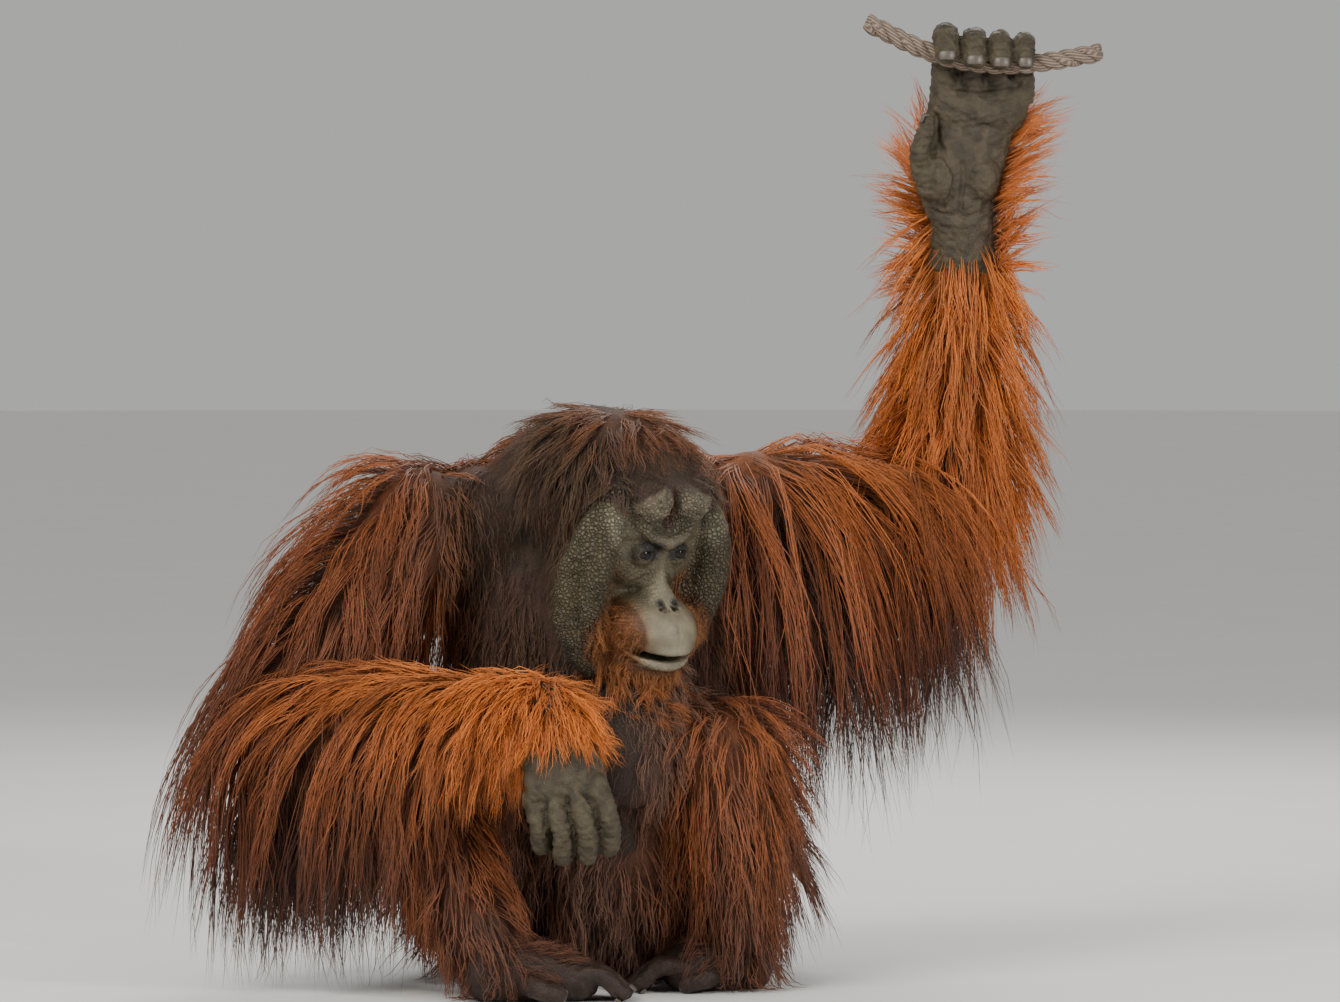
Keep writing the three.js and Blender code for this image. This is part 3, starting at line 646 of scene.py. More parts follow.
def colour_setting(name, description, *screen):
    """A colour property, with its default named by 0 to 255 screen values."""
    return bpy.props.FloatVectorProperty(
        name=name, description=description, default=linear(*screen), subtype="COLOR"
    )


class OrangutanSettings(bpy.types.PropertyGroup):
    """Sizes and colours of the model."""

    strand_width: bpy.props.FloatProperty(
        name="Strand width",
        description="Width of a strand of coat at its middle",
        default=0.0016,
        unit="LENGTH",
    )
    strand_count: bpy.props.IntProperty(
        name="Strands", description="Number of strands on the trunk, arms and legs", default=37200, min=100
    )
    coat_bright: colour_setting("Bright coat", "Lit coat of the arms", 206, 116, 44)
    coat_warm: colour_setting("Warm coat", "Coat of the shoulders and legs", 152, 84, 40)
    coat_deep: colour_setting("Deep coat", "Long hanging coat", 98, 58, 38)
    coat_crown: colour_setting("Crown coat", "Coat of the head and neck", 86, 64, 46)
    face_tone: colour_setting("Face", "Skin of the face", 94, 85, 66)
    muzzle_tone: colour_setting("Muzzle", "Skin of the upper lip and nose", 128, 119, 98)
    pad_tone: colour_setting("Cheek pads", "Skin of the cheek pads", 84, 75, 54)
    chest_tone: colour_setting("Body skin", "Skin under the coat", 58, 44, 36)
    hand_tone: colour_setting("Hands", "Skin of the hands", 80, 71, 52)
    palm_tone: colour_setting("Palm", "Skin of the raised palm", 78, 68, 52)
    foot_tone: colour_setting("Feet", "Skin of the feet", 54, 37, 28)
    iris_tone: colour_setting("Iris", "Iris of the eyes", 40, 26, 16)
    nail_tone: colour_setting("Nails", "Nails of the fingers and toes", 104, 94, 84)
    rope_tone: colour_setting("Rope", "Weathered rope fibre", 150, 132, 116)
    floor_tone: colour_setting("Floor", "Pale studio floor", 240, 239, 235)
    rope_lay: bpy.props.FloatProperty(
        name="Rope lay", description="Length of one full turn of a rope strand", default=0.058, unit="LENGTH"
    )
    key_power: bpy.props.FloatProperty(
        name="Key light", description="Power of the main light in watts", default=200, min=0
    )
    camera_rise: bpy.props.FloatProperty(
        name="Camera elevation",
        description="Angle above the horizon",
        default=math.radians(2),
        subtype="ANGLE",
    )
    camera_distance: bpy.props.FloatProperty(
        name="Camera distance", description="From the aim point", default=9, unit="LENGTH"
    )


def settings():
    """The model's sizes and colours as they stand."""
    return bpy.context.scene.orangutan


def node_material(name):
    """A new material with its shader and a helper that adds linked nodes."""
    material = bpy.data.materials.new(name)
    material.use_nodes = True
    tree = material.node_tree
    shader = tree.nodes["Principled BSDF"]

    def add(kind, inputs=None, **options):
        node = tree.nodes.new(kind)
        for key, value in options.items():
            setattr(node, key, value)
        for key, value in (inputs or {}).items():
            if isinstance(value, bpy.types.NodeSocket):
                tree.links.new(value, node.inputs[key])
            else:
                node.inputs[key].default_value = value
        return node

    return material, shader, tree, add


# The first colour, second colour and result among a mix node's sockets
MIX_FIRST, MIX_SECOND, MIX_RESULT = 6, 7, 2


def mixed(tree, add, share, first, second):
    """The colour at a share of the way from a first to a second."""
    mix = add("ShaderNodeMix", data_type="RGBA")
    tree.links.new(share, mix.inputs["Factor"])
    mix.inputs[MIX_FIRST].default_value = (*first, 1)
    mix.inputs[MIX_SECOND].default_value = (*second, 1)
    return mix.outputs[MIX_RESULT]


def ranged(add, value, low, high, start=0, end=1):
    """A value that goes from low to high while the given one goes from start to end."""
    ends = {"From Min": start, "From Max": end, "To Min": low, "To Max": high}
    return add("ShaderNodeMapRange", {"Value": value, **ends}).outputs["Result"]


def noise(add, scale, detail, roughness=0.5):
    """Cloudy noise fixed to the object."""
    place = add("ShaderNodeTexCoord").outputs["Object"]
    fields = {"Vector": place, "Scale": scale, "Detail": detail, "Roughness": roughness}
    return add("ShaderNodeTexNoise", fields).outputs["Fac"]


def shaded(add, shade):
    """The painted colour, lighter or darker by a shade."""
    tint = add("ShaderNodeVertexColor", layer_name="tint").outputs["Color"]
    return add("ShaderNodeVectorMath", {0: tint, "Scale": shade}, operation="SCALE").outputs["Vector"]


def skin_material(name, pebble, crease, roughness):
    """Bare skin: its painted colour, mottled, with pebbles of one size and fine creases of another."""
    material, shader, tree, add = node_material(name)
    place = add("ShaderNodeTexCoord").outputs["Object"]
    rough = add("ShaderNodeAttribute", attribute_name="pebbled").outputs["Fac"]
    matt = add("ShaderNodeAttribute", attribute_name="matt").outputs["Fac"]
    mottle = ranged(add, noise(add, 55, 6), 0.68, 1.2, 0.3, 0.7)
    cells = add(
        "ShaderNodeTexVoronoi",
        {"Vector": place, "Scale": pebble, "Randomness": 0.9},
        feature="DISTANCE_TO_EDGE",
    )
    grooves = ranged(add, cells.outputs["Distance"], 0, 1, 0, 0.22)
    cut = add("ShaderNodeMath", {0: rough, 1: 0.45}, operation="MULTIPLY").outputs[0]
    darkest = add("ShaderNodeMath", {0: 1.0, 1: cut}, operation="SUBTRACT").outputs[0]
    groove_shade = ranged(add, grooves, darkest, 1)
    both = add("ShaderNodeMath", {0: mottle, 1: groove_shade}, operation="MULTIPLY").outputs[0]
    tree.links.new(shaded(add, both), shader.inputs["Base Color"])
    lines = noise(add, crease, 8, 0.65)
    gloss = ranged(add, lines, roughness - 0.1, roughness + 0.12, 0.3, 0.7)
    dull = add("ShaderNodeMath", {0: gloss, 1: matt}, operation="ADD", use_clamp=True).outputs[0]
    tree.links.new(dull, shader.inputs["Roughness"])
    fine = add("ShaderNodeBump", {"Height": lines, "Strength": 0.5, "Distance": 0.002}).outputs["Normal"]
    strength = add("ShaderNodeMath", {0: rough, 1: 0.9}, operation="MULTIPLY").outputs[0]
    deep = {"Height": grooves, "Strength": strength, "Distance": 0.0026, "Normal": fine}
    tree.links.new(add("ShaderNodeBump", deep).outputs["Normal"], shader.inputs["Normal"])
    shader.inputs["Specular IOR Level"].default_value = 0.42
    return material


def coat_material():
    """Hair: its painted colour with fine streaks and a soft sheen."""
    material, shader, tree, add = node_material("coat")
    streak = noise(add, 240, 3)
    shade = ranged(add, streak, 0.75, 1.22, 0.3, 0.7)
    tree.links.new(shaded(add, shade), shader.inputs["Base Color"])
    tree.links.new(ranged(add, streak, 0.42, 0.62), shader.inputs["Roughness"])
    shader.inputs["Specular IOR Level"].default_value = 0.35
    shader.inputs["Sheen Weight"].default_value = 0.12
    shader.inputs["Sheen Roughness"].default_value = 0.45
    return material


LIP_TONE = linear(132, 122, 102)
# Pale olive-grey skin of the brow lumps, painted lighter as the light falling on them
LUMP_SKIN_AND_HIGHLIGHT = linear(122, 112, 92)
# Brown-grey skin of the lids, painted darker as the shade under the brow
LID_SKIN_AND_SHADE = linear(48, 40, 29)
LID_RIM_TONE = linear(104, 92, 72)
# Painted shade: near black for the shadow in the eye sockets under the brow and towards the nose
SOCKET_SHADE = linear(9, 7, 5)
# Dark reddish hair of the hollow between the brow lumps, painted darker as the shade in the hollow
HOLLOW_HAIR_AND_SHADE = linear(48, 32, 22)
# Painted highlight: the light falling on the upper part of each cheek pad
PAD_TOP_HIGHLIGHT = linear(140, 134, 112)
CHEEK_TONE = linear(92, 64, 40)
FUZZ_SKIN_TONE = linear(140, 92, 50)
# Painted shade: near black inside the nostrils
NOSTRIL_SHADE = linear(18, 12, 10)
# Painted shade: near black inside the open mouth
MOUTH_SHADE = linear(26, 14, 12)
SAC_TONE = linear(58, 46, 37)
# Painted shade: nearly black in the furrows between the fingers
FURROW_SHADE = linear(30, 24, 16)
BLOTCH_TONE = linear(52, 44, 30)
EYEBALL_TONE = linear(16, 10, 7)
PUPIL_TONE = linear(3, 2, 2)

# Patches in the head's frame are given by their middle and half-sizes, for both halves at once
BROW_LUMPS = ((28, 0, 66), (32, 40, 32))
PAD_SWELLS = ((88, 20, -50), (62, 50, 150))
MOUSTACHE = ((54, -20, -96), (48, 70, 56))

# Folds of the face: the axis they cross, their patch, their spacing and their depth
FACE_FOLDS = [
    ((0.35, 0, 1), (28, -8, 66), (34, 40, 34), 11, 1.8),
    ((0.3, 0, 1), (12, -12, 24), (36, 30, 18), 5, 0.9),
    ((0.8, 0.2, 1), (30, -12, -28), (30, 34, 20), 7, 1.6),
    ((0.2, 0, 1), (12, -14, -24), (16, 26, 22), 6, 1.4),
    ((0.15, 0, 1), (88, 8, -40), (48, 40, 110), 14, 0.7),
    ((1, 0, 0.1), (22, -60, -112), (34, 24, 14), 6, 1.0),
]

# Hollows of the face: their patch and their depth
FACE_HOLLOWS = [
    ((0, -78, -74), (4, 20, 22), 1.2),
    ((0, -14, 60), (6, 30, 30), 7),
    ((0, -10, 42), (15, 24, 16), 5),
]

# Colours of the face, laid one over another: the tone, its strength and its patch. Some are painted light:
# painted shade in the sockets, in the brow hollow and over the lids, painted light on the brow lumps, and a
# painted highlight on the tops of the pads
FACE_PATCHES = [
    (LIP_TONE, 1, (20, -60, -116), (46, 40, 13)),
    (LUMP_SKIN_AND_HIGHLIGHT, 0.85, (28, -8, 66), (30, 30, 28)),
    (LID_SKIN_AND_SHADE, 0.9, (27, -12, 0), (26, 30, 17)),
    (SOCKET_SHADE, 0.97, (19, -4, 13), (20, 40, 12)),
    (SOCKET_SHADE, 0.9, (14, -4, 4), (9, 30, 13)),
    (LID_RIM_TONE, 0.6, (27, -14, -8), (16, 20, 4)),
    (HOLLOW_HAIR_AND_SHADE, 0.9, (0, -10, 42), (12, 24, 15)),
    (PAD_TOP_HIGHLIGHT, 0.6, (74, 0, 38), (20, 40, 36)),
    (CHEEK_TONE, 0.55, (52, 0, -60), (22, 50, 60)),
]


def one_half(h):
    """Places of the head with those of its right half mirrored to its left."""
    return np.column_stack([np.abs(h[:, 0]), h[:, 1], h[:, 2]])


def cracks(places, length, width, seed):
    """1 on the lines of an irregular network, falling to 0 beside them."""
    return np.exp(-((ripple(places, length, seed) / width) ** 2))


def wrinkle(h, axis, centre, radii, length, depth):
    """Parallel folds across an axis of the head's frame, fading out at an ellipsoid."""
    wave = np.cos(h @ unit(axis) * (2 * math.pi / length) + 2.2 * ripple(h, 34, 5))
    return depth * near(h, centre, radii) * (wave - 1) / 2


def sculpt_head(mesh):
    """Moves the head's skin along its normals: lumps of the brow, swells of the pads, folds and hollows."""
    places = places_of(mesh)
    h = to_head(places)
    half = one_half(h)
    push = near(half, *BROW_LUMPS) * (1.5 * ripple(h, 10, 2) - 2.8 * cracks(h, 30, 0.16, 6) + 1.5)
    push -= 1.4 * near(half, *BROW_LUMPS) * cracks(h, 15, 0.12, 9)
    push += near(half, *PAD_SWELLS) * (1.2 * ripple(h, 26, 3) + 0.5 * ripple(h, 9, 4))
    push -= 1.1 * near(half, *PAD_SWELLS) * cracks(h, 34, 0.1, 7)
    for axis, centre, radii, length, depth in FACE_FOLDS:
        push += wrinkle(half, axis, centre, radii, length, depth)
    for centre, radii, depth in FACE_HOLLOWS:
        push -= depth * near(half, centre, radii)
    move_to(mesh, places + normals_of(mesh) * push[:, None] * MM)


def head_colours(mesh):
    """The face's colours: pale muzzle and lips, olive pads, painted shade in the sockets, nostrils, mouth and
    brow hollow and over the lids, painted light on the lumps and the pads' tops; and where it is pebbled.
    """
    tones = settings()
    h = to_head(places_of(mesh))
    half = one_half(h)
    x, y, z = half.T
    colours = np.tile(np.array(tones.face_tone), (len(h), 1))
    under_hair = np.clip(smooth_step(40, 60, y) + smooth_step(66, 92, z), 0, 1)
    colours = blend_colours(colours, tones.chest_tone, under_hair)
    colours = blend_colours(colours, tones.pad_tone, smooth_step(52, 70, x) * smooth_step(70, 52, y))
    colours = blend_colours(colours, tones.muzzle_tone, near(half, (0, -60, -74), (50, 60, 44)))
    colours = blend_colours(colours, tones.muzzle_tone, 0.7 * near(half, (0, -20, -40), (26, 40, 26)))
    for patch_tone, strength, centre, radii in FACE_PATCHES:
        colours = blend_colours(colours, patch_tone, strength * near(half, centre, radii))
    fuzz = near(half, *MOUSTACHE) * smooth_step(12, 40, x) * smooth_step(64, 52, x)
    colours = blend_colours(colours, FUZZ_SKIN_TONE, 0.75 * fuzz)
    # Painted shade: near black inside the carved nostrils
    colours = blend_colours(colours, NOSTRIL_SHADE, near(half, (10, -34, -52), (9.5, 15, 10.5)))
    # Painted shade: near black inside the open mouth, along the carved gap between the lips
    inside = near(half, (0, -44, -104), (56, 42, 9)) * smooth_step(9, 4, np.abs(z + 104))
    colours = blend_colours(colours, MOUTH_SHADE, np.clip(1.6 * inside, 0, 1))
    pebbled = 0.35 + 0.65 * smooth_step(46, 66, x)
    pebbled = np.maximum(pebbled, 0.9 * near(half, (24, -4, 56), (44, 40, 50)))
    pebbled = pebbled * (1 - 0.75 * near(half, (0, -60, -80), (52, 60, 50)))
    return colours, pebbled


def body_colours(mesh):
    """Dark skin under the coat, paler and pebbled on the throat sac."""
    places = places_of(mesh)
    colours = np.tile(np.array(settings().chest_tone), (len(places), 1))
    sac = near(places, to_frame((18, -150, 310)), np.array((90, 75, 100)) * MM)
    return blend_colours(colours, SAC_TONE, sac), 0.25 + 0.6 * sac


def build_body():
    """The body's bare shape."""
    return fused(forms_mesh("body", [*BODY_FORMS.values(), BELLY, *SHOULDER_BALLS.values()]), BODY_VOXEL, 8)


def build_head():
    """The head's shape, with its eye openings, nostrils, ears and mouth."""
    head = fused(forms_mesh("head", [*HEAD_FORMS, *LIPS, *PADS, *PAD_BULGES, *EARS]), HEAD_VOXEL, 3)
    head = carved(head, ORBITS)
    head = fused(joined("head", [head, forms_mesh("lids", LIDS)]), HEAD_VOXEL, 1)
    head = carved(head, [*LID_OPENINGS, *NOSTRILS, *EAR_CUPS, MOUTH_GAP])
    return fused(head, HEAD_VOXEL, 3)


class ORANGUTAN_OT_skin(bpy.types.Operator):
    """Builds the skin of the body, throat and head as one piece"""

    bl_idname = "orangutan.skin"
    bl_label = "Skin"

    def execute(self, context):
        body, head = build_body(), build_head()
        sculpt_head(head)
        set_down(body)
        h = to_head(places_of(head))
        scalp = np.clip(smooth_step(40, 60, h[:, 1]) + smooth_step(72, 84, h[:, 2]), 0, 1)
        matt = {"body": np.full(len(body.vertices), 0.36), "head": 0.4 * scalp}
        for mesh, name, colouring in ((body, "body", body_colours), (head, "head", head_colours)):
            colours, pebbled = colouring(mesh)
            paint(mesh, "tint", colours)
            weigh(mesh, "pebbled", pebbled)
            weigh(mesh, "is_head", np.full(len(mesh.vertices), float(name == "head")))
            weigh(mesh, "matt", matt[name])
        material = skin_material("skin", 210, 480, 0.36)
        skin = finished("skin", joined("skin", [body, head]), material)
        nodes = ["torso", "neck", "throat_sac", "head", "lower_jaw"]
        kinds = ("cheek_pad", "ear", "upper_arm", "forearm", "thigh", "shank")
        nodes += [f"{kind}_{side}" for side in SIDES for kind in kinds]
        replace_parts(skin, *nodes)
        return {"FINISHED"}


# Creases of the raised palm as seen from the front: places (x, z) along each, its half-width and its depth
PALM_CREASES = [
    ([(384, 924), (396, 920), (422, 918), (446, 928)], 4, 3.0),
    ([(416, 984), (417, 962), (414, 938), (414, 922)], 5, 4.0),
    ([(384, 1040), (386, 1012), (397, 988), (408, 968), (404, 944), (392, 930)], 5, 4.0),
    ([(388, 1058), (408, 1046), (436, 1030), (466, 1024)], 3, 1.4),
    ([(400, 1010), (424, 1012), (450, 1004), (470, 996)], 3, 1.2),
    ([(386, 1078), (420, 1074), (452, 1074), (484, 1078)], 5, 3.5),
    ([(392, 906), (416, 902), (438, 908)], 3, 1.6),
]


def line_distance(flat, line):
    """The distance of each flat place from a line through places."""
    nearest = np.full(len(flat), np.inf)
    for start, end in zip(np.array(line[:-1], float), np.array(line[1:], float)):
        way = end - start
        share = np.clip((flat - start) @ way / (way @ way), 0, 1)
        nearest = np.minimum(nearest, np.linalg.norm(flat - start - share[:, None] * way, axis=1))
    return nearest


def finger_gaps(places, side):
    """How close places are to the furrow between two fingers, from 0 to 1."""
    middles = [finger.centre[None, 4::3] for finger in FINGERS[side]]
    reach = [np.linalg.norm(places[:, None] - middle, axis=2).min(axis=1) for middle in middles]
    nearest, second = np.sort(np.stack(reach), axis=0)[:2]
    return smooth_step(0.72, 0.97, nearest / second) * smooth_step(0.03, 0.02, nearest)


JOINT_ROWS = (3, 5, 7, 8, 9, 11, 13, 15, 16, 17, 19)


def crease_hand(mesh, side):
    """Presses creases into the palm and wrinkles round the finger joints."""
    places = places_of(mesh)
    normals = normals_of(mesh)
    push = 0.9 * ripple(places / MM, 9, 8) - 1.3 * cracks(places / MM, 30, 0.1, 10)
    push -= 2.6 * finger_gaps(places, side)
    if side == "left":
        flat = (places / MM)[:, [0, 2]]
        front = smooth_step(0, 0.5, -normals[:, 1])
        for line, width, depth in PALM_CREASES:
            push -= depth * (1 - smooth_step(0, width, line_distance(flat, line))) * front
    for finger in [*FINGERS[side], THUMB[side]]:
        for k in JOINT_ROWS:
            offset = places - finger.centre[k]
            height = dots(offset, finger.along[k])[:, 0] / MM
            close = np.linalg.norm(offset, axis=1) < 20 * MM
            push -= 1.3 * (1 - smooth_step(0, 2.2, np.abs(height + 0.8 * ripple(offset / MM, 12, 9)))) * close
    move_to(mesh, places + normals * push[:, None] * MM)


def hand_colours(mesh, side):
    """Grey skin, a darker raised palm, blotches, nearly black painted shade in the furrows, and a cuff in
    the coat's colour, darkened as painted shade deep in the coat.
    """
    tones = settings()
    places = places_of(mesh)
    colours = np.tile(np.array(tones.hand_tone), (len(places), 1))
    palm = PALM[side]
    distance = np.linalg.norm(places[:, None] - palm.centre[None, ::4], axis=2).min(axis=1) / MM
    colours = blend_colours(colours, tones.palm_tone, (1 - smooth_step(30, 62, distance)) * (side == "left"))
    # Painted shade in the furrows between the fingers
    colours = blend_colours(colours, FURROW_SHADE, 0.85 * finger_gaps(places, side))
    blotch = smooth_step(0.1, 0.5, ripple(places / MM, 24, 13))
    colours = blend_colours(colours, BLOTCH_TONE, 0.5 * blotch)
    # The wrist under the coat takes the coat's bright colour at 0.4: the coat's colour, darkened as painted
    # shade deep in the coat
    lower = FOREARM[side]
    cuff = smooth_step(4, 14, -(places - lower.centre[-1]) @ lower.along[-1] / MM)
    if side == "left":
        cuff *= smooth_step(-0.35, 0.0, normals_of(mesh)[:, 1])
    else:
        cuff *= smooth_step(-50, -30, (places - lower.centre[-1])[:, 2] / MM)
    return blend_colours(colours, 0.4 * np.array(tones.coat_bright), cuff), np.full(len(places), 0.35)


def cuff_of(side):
    """The end of a forearm, a little thicker than the body's own, so that the hand's skin lies over it."""
    lower = FOREARM[side]
    rows = [-7, -4, -1]
    girths = np.column_stack([lower.width[rows], lower.depth[rows]]) / MM + CUFF_THICKNESS
    return Limb(lower.across[-1], np.column_stack([from_frame(lower.centre[rows]), girths]).tolist())


class ORANGUTAN_OT_hands_and_feet(bpy.types.Operator):
    """Builds the bare skin of both hands and both feet"""

    bl_idname = "orangutan.hands_and_feet"
    bl_label = "Hands and feet"

    def execute(self, context):
        material = skin_material("hand_skin", 330, 700, 0.5)
        for side in SIDES:
            forms = [cuff_of(side), PALM[side], *FINGERS[side], THUMB[side], *PALM_MUSCLES[side]]
            hand = fused(forms_mesh(f"hand_{side}", forms), HAND_VOXEL, 4)
            crease_hand(hand, side)
            colours, pebbled = hand_colours(hand, side)
            paint(hand, "tint", colours)
            weigh(hand, "pebbled", pebbled)
            piece = finished(f"hand_skin_{side}", hand, material)
            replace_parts(piece, f"hand_{side}", *[f"finger_{side}_{i}" for i in range(1, 5)], f"thumb_{side}")
        for side in SIDES:
            foot = fused(forms_mesh(f"foot_{side}", [FOOT[side], *TOES[side]]), HAND_VOXEL, 4)
            places = places_of(foot)
            folds = 0.8 * ripple(places / MM, 9, 11) - 1.3 * cracks(places / MM, 26, 0.12, 12)
            move_to(foot, places + normals_of(foot) * folds[:, None] * MM)
            set_down(foot)
            count = len(foot.vertices)
            paint(foot, "tint", np.tile(np.array(settings().foot_tone), (count, 1)))
            weigh(foot, "pebbled", np.full(count, 0.35))
            piece = finished(f"foot_skin_{side}", foot, material)
            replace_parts(piece, f"foot_{side}", *[f"toe_{side}_{i}" for i in range(1, 6)])
        return {"FINISHED"}


class ORANGUTAN_OT_eyes(bpy.types.Operator):
    """Builds two glossy eyes with a domed cornea"""

    bl_idname = "orangutan.eyes"
    bl_label = "Eyes"

    def execute(self, context):
        material, shader, tree, add = node_material("eye")
        fleck = noise(add, 900, 4)
        tree.links.new(shaded(add, ranged(add, fleck, 0.7, 1.3)), shader.inputs["Base Color"])
        tree.links.new(ranged(add, fleck, 0.04, 0.12), shader.inputs["Roughness"])
        shader.inputs["Coat Weight"].default_value = 0.3
        shader.inputs["Coat Roughness"].default_value = 0.02
        shader.inputs["Specular IOR Level"].default_value = 0.12
        gaze = unit(head_way(0, -1, 0.16))
        for side, sign in SIDES.items():
            middle = to_frame(in_head(sign * EYE_SPACING / 2, 0, 0))
            bm = bmesh.new()
            bmesh.ops.create_uvsphere(
                bm, u_segments=64, v_segments=48, radius=EYE_RADIUS * MM, matrix=Matrix.Translation(middle)
            )
            mesh = mesh_of(f"eye_{side}", bm)
            places = places_of(mesh)
            ways = unit(places - middle)
            facing = ways @ gaze
            places += ways * (1.1 * MM * smooth_step(0.83, 1, facing))[:, None]
            move_to(mesh, places)
            colours = np.tile(np.array(EYEBALL_TONE), (len(places), 1))
            colours = blend_colours(colours, settings().iris_tone, smooth_step(0.8, 0.84, facing))
            colours = blend_colours(colours, PUPIL_TONE, smooth_step(0.93, 0.945, facing))
            paint(mesh, "tint", colours)
            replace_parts(finished(f"eye_{side}", mesh, material), f"eye_{side}")
        return {"FINISHED"}


def add_nail(bm, limb, length, reach):
    """Adds a curved plate that caps the outer side of a finger's or toe's tip."""
    along = unit(limb.along[-1])
    bend = limb.along[-1] - limb.along[-7]
    outward = -unit(bend - along * (bend @ along)) if np.linalg.norm(bend) > 0.05 else limb.deep[-1]
    across = np.cross(along, outward)
    radius = limb.width[-1] + 0.7 * MM
    made = bmesh.ops.create_grid(bm, x_segments=10, y_segments=8, size=1)
    for vert in made["verts"]:
        turn = vert.co.x * reach * (1 - 0.22 * max(0, vert.co.y) ** 2 - 0.15 * max(0, -vert.co.y) ** 2)
        lift = (0.25 - 0.35 * vert.co.y**2) * MM
        height = (vert.co.y * length / 2 + 2) * MM
        drop = max(0, height - 1.5 * MM) ** 2 * 18
        ring = (radius + lift - drop) * (outward * math.cos(turn) + across * math.sin(turn))
        vert.co = Vector(limb.centre[-1] + along * height + ring)
    faces = list({face for vert in made["verts"] for face in vert.link_faces})
    bmesh.ops.recalc_face_normals(bm, faces=faces)
    bmesh.ops.solidify(bm, geom=faces, thickness=1.6 * MM)


class ORANGUTAN_OT_nails(bpy.types.Operator):
    """Builds the nails of fingers and toes"""

    bl_idname = "orangutan.nails"
    bl_label = "Nails"

    def execute(self, context):
        material, shader, tree, add = node_material("nail")
        ridge = noise(add, 500, 5)
        light = settings().nail_tone
        dark = [c * 0.45 for c in light]
        tree.links.new(mixed(tree, add, ridge, dark, light), shader.inputs["Base Color"])
        tree.links.new(ranged(add, ridge, 0.25, 0.5), shader.inputs["Roughness"])
        bump = add("ShaderNodeBump", {"Height": ridge, "Strength": 0.3, "Distance": 0.0005}).outputs["Normal"]
        tree.links.new(bump, shader.inputs["Normal"])
        for side in SIDES:
            bm = bmesh.new()
            for finger in [*FINGERS[side], THUMB[side]]:
                add_nail(bm, finger, 11, 0.75)
            for toe in TOES[side]:
                add_nail(bm, toe, 10, 0.85)
            mesh = mesh_of(f"nails_{side}", bm)
            set_down(mesh)
            finished(f"nails_{side}", mesh, material)
        return {"FINISHED"}


ROPE_STEPS = 120
ROPE_SIDES = 14


class ORANGUTAN_OT_rope(bpy.types.Operator):
    """Builds a short cut length of three-strand laid rope through the raised fist"""

    bl_idname = "orangutan.rope"
    bl_label = "Rope"

    def execute(self, context):
        material, shader, tree, add = node_material("rope")
        twist = add("ShaderNodeUVMap", uv_map="twist").outputs["UV"]
        yarn = add(
            "ShaderNodeTexWave",
            {"Vector": twist, "Scale": 1.6, "Distortion": 1.2, "Detail": 3, "Detail Scale": 2},
            bands_direction="DIAGONAL",
        ).outputs["Fac"]
        grime = noise(add, 130, 6)
        shade = add("ShaderNodeMath", {0: yarn, 1: grime}, operation="MULTIPLY").outputs[0]
        light = settings().rope_tone
        dark = [c * 0.38 for c in light]
        colour = mixed(tree, add, ranged(add, shade, 0, 1, 0, 0.5), dark, light)
        tree.links.new(colour, shader.inputs["Base Color"])
        tree.links.new(ranged(add, grime, 0.75, 0.98), shader.inputs["Roughness"])
        bump = add("ShaderNodeBump", {"Height": yarn, "Strength": 0.7, "Distance": 0.0012}).outputs["Normal"]
        tree.links.new(bump, shader.inputs["Normal"])

        core = Limb((0, 0, 1), [(*place, ROPE_RADIUS) for place in ROPE_LINE], steps=ROPE_STEPS)
        spans = np.linalg.norm(np.diff(core.centre, axis=0), axis=1)
        run = np.concatenate([[0], np.cumsum(spans)])
        bm = bmesh.new()
        layer = bm.loops.layers.uv.new("twist")
        strand_radius = 0.5 * ROPE_RADIUS
        for k in range(3):
            turns = run / settings().rope_lay * 2 * math.pi + k * 2 * math.pi / 3
            ring = core.across * np.cos(turns)[:, None] + core.deep * np.sin(turns)[:, None]
            centre = core.centre + ring * strand_radius * MM
            stations = [(*place, strand_radius) for place in from_frame(centre)]
            strand = Limb((0, 0, 1), stations, cap=0.25, sides=ROPE_SIDES, steps=ROPE_STEPS)
            before = len(bm.verts)
            strand.add_to(bm)
            bm.verts.ensure_lookup_table()
            for face in {f for v in bm.verts[before:] for f in v.link_faces}:
                for loop in face.loops:
                    offset = np.array(loop.vert.co) - strand.centre
                    row = int(np.argmin(np.einsum("ij,ij->i", offset, offset)))
                    turn = math.atan2(offset[row] @ strand.deep[row], offset[row] @ strand.across[row])
                    loop[layer].uv = (row / 12, (turn / (2 * math.pi) + 0.5) * ROPE_SIDES / 4)
        rope = finished("rope_strands", mesh_of("rope_strands", bm), material)
        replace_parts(rope, "rope")
        return {"FINISHED"}


# Strands to each guide, the least height of a strand and of a guide in metres, what a long tip loses of
# red, green and blue, which is partly painted shade on hanging hair and partly its redder colour, and the
# most triangles in one piece of coat
GUIDE_SHARE = 8
LOWEST = 0.003
GUIDE_LOWEST = 0.004
TIP_SHADE_AND_RED = np.array((0.5, 0.58, 0.55))
LARGEST_PIECE = 190000


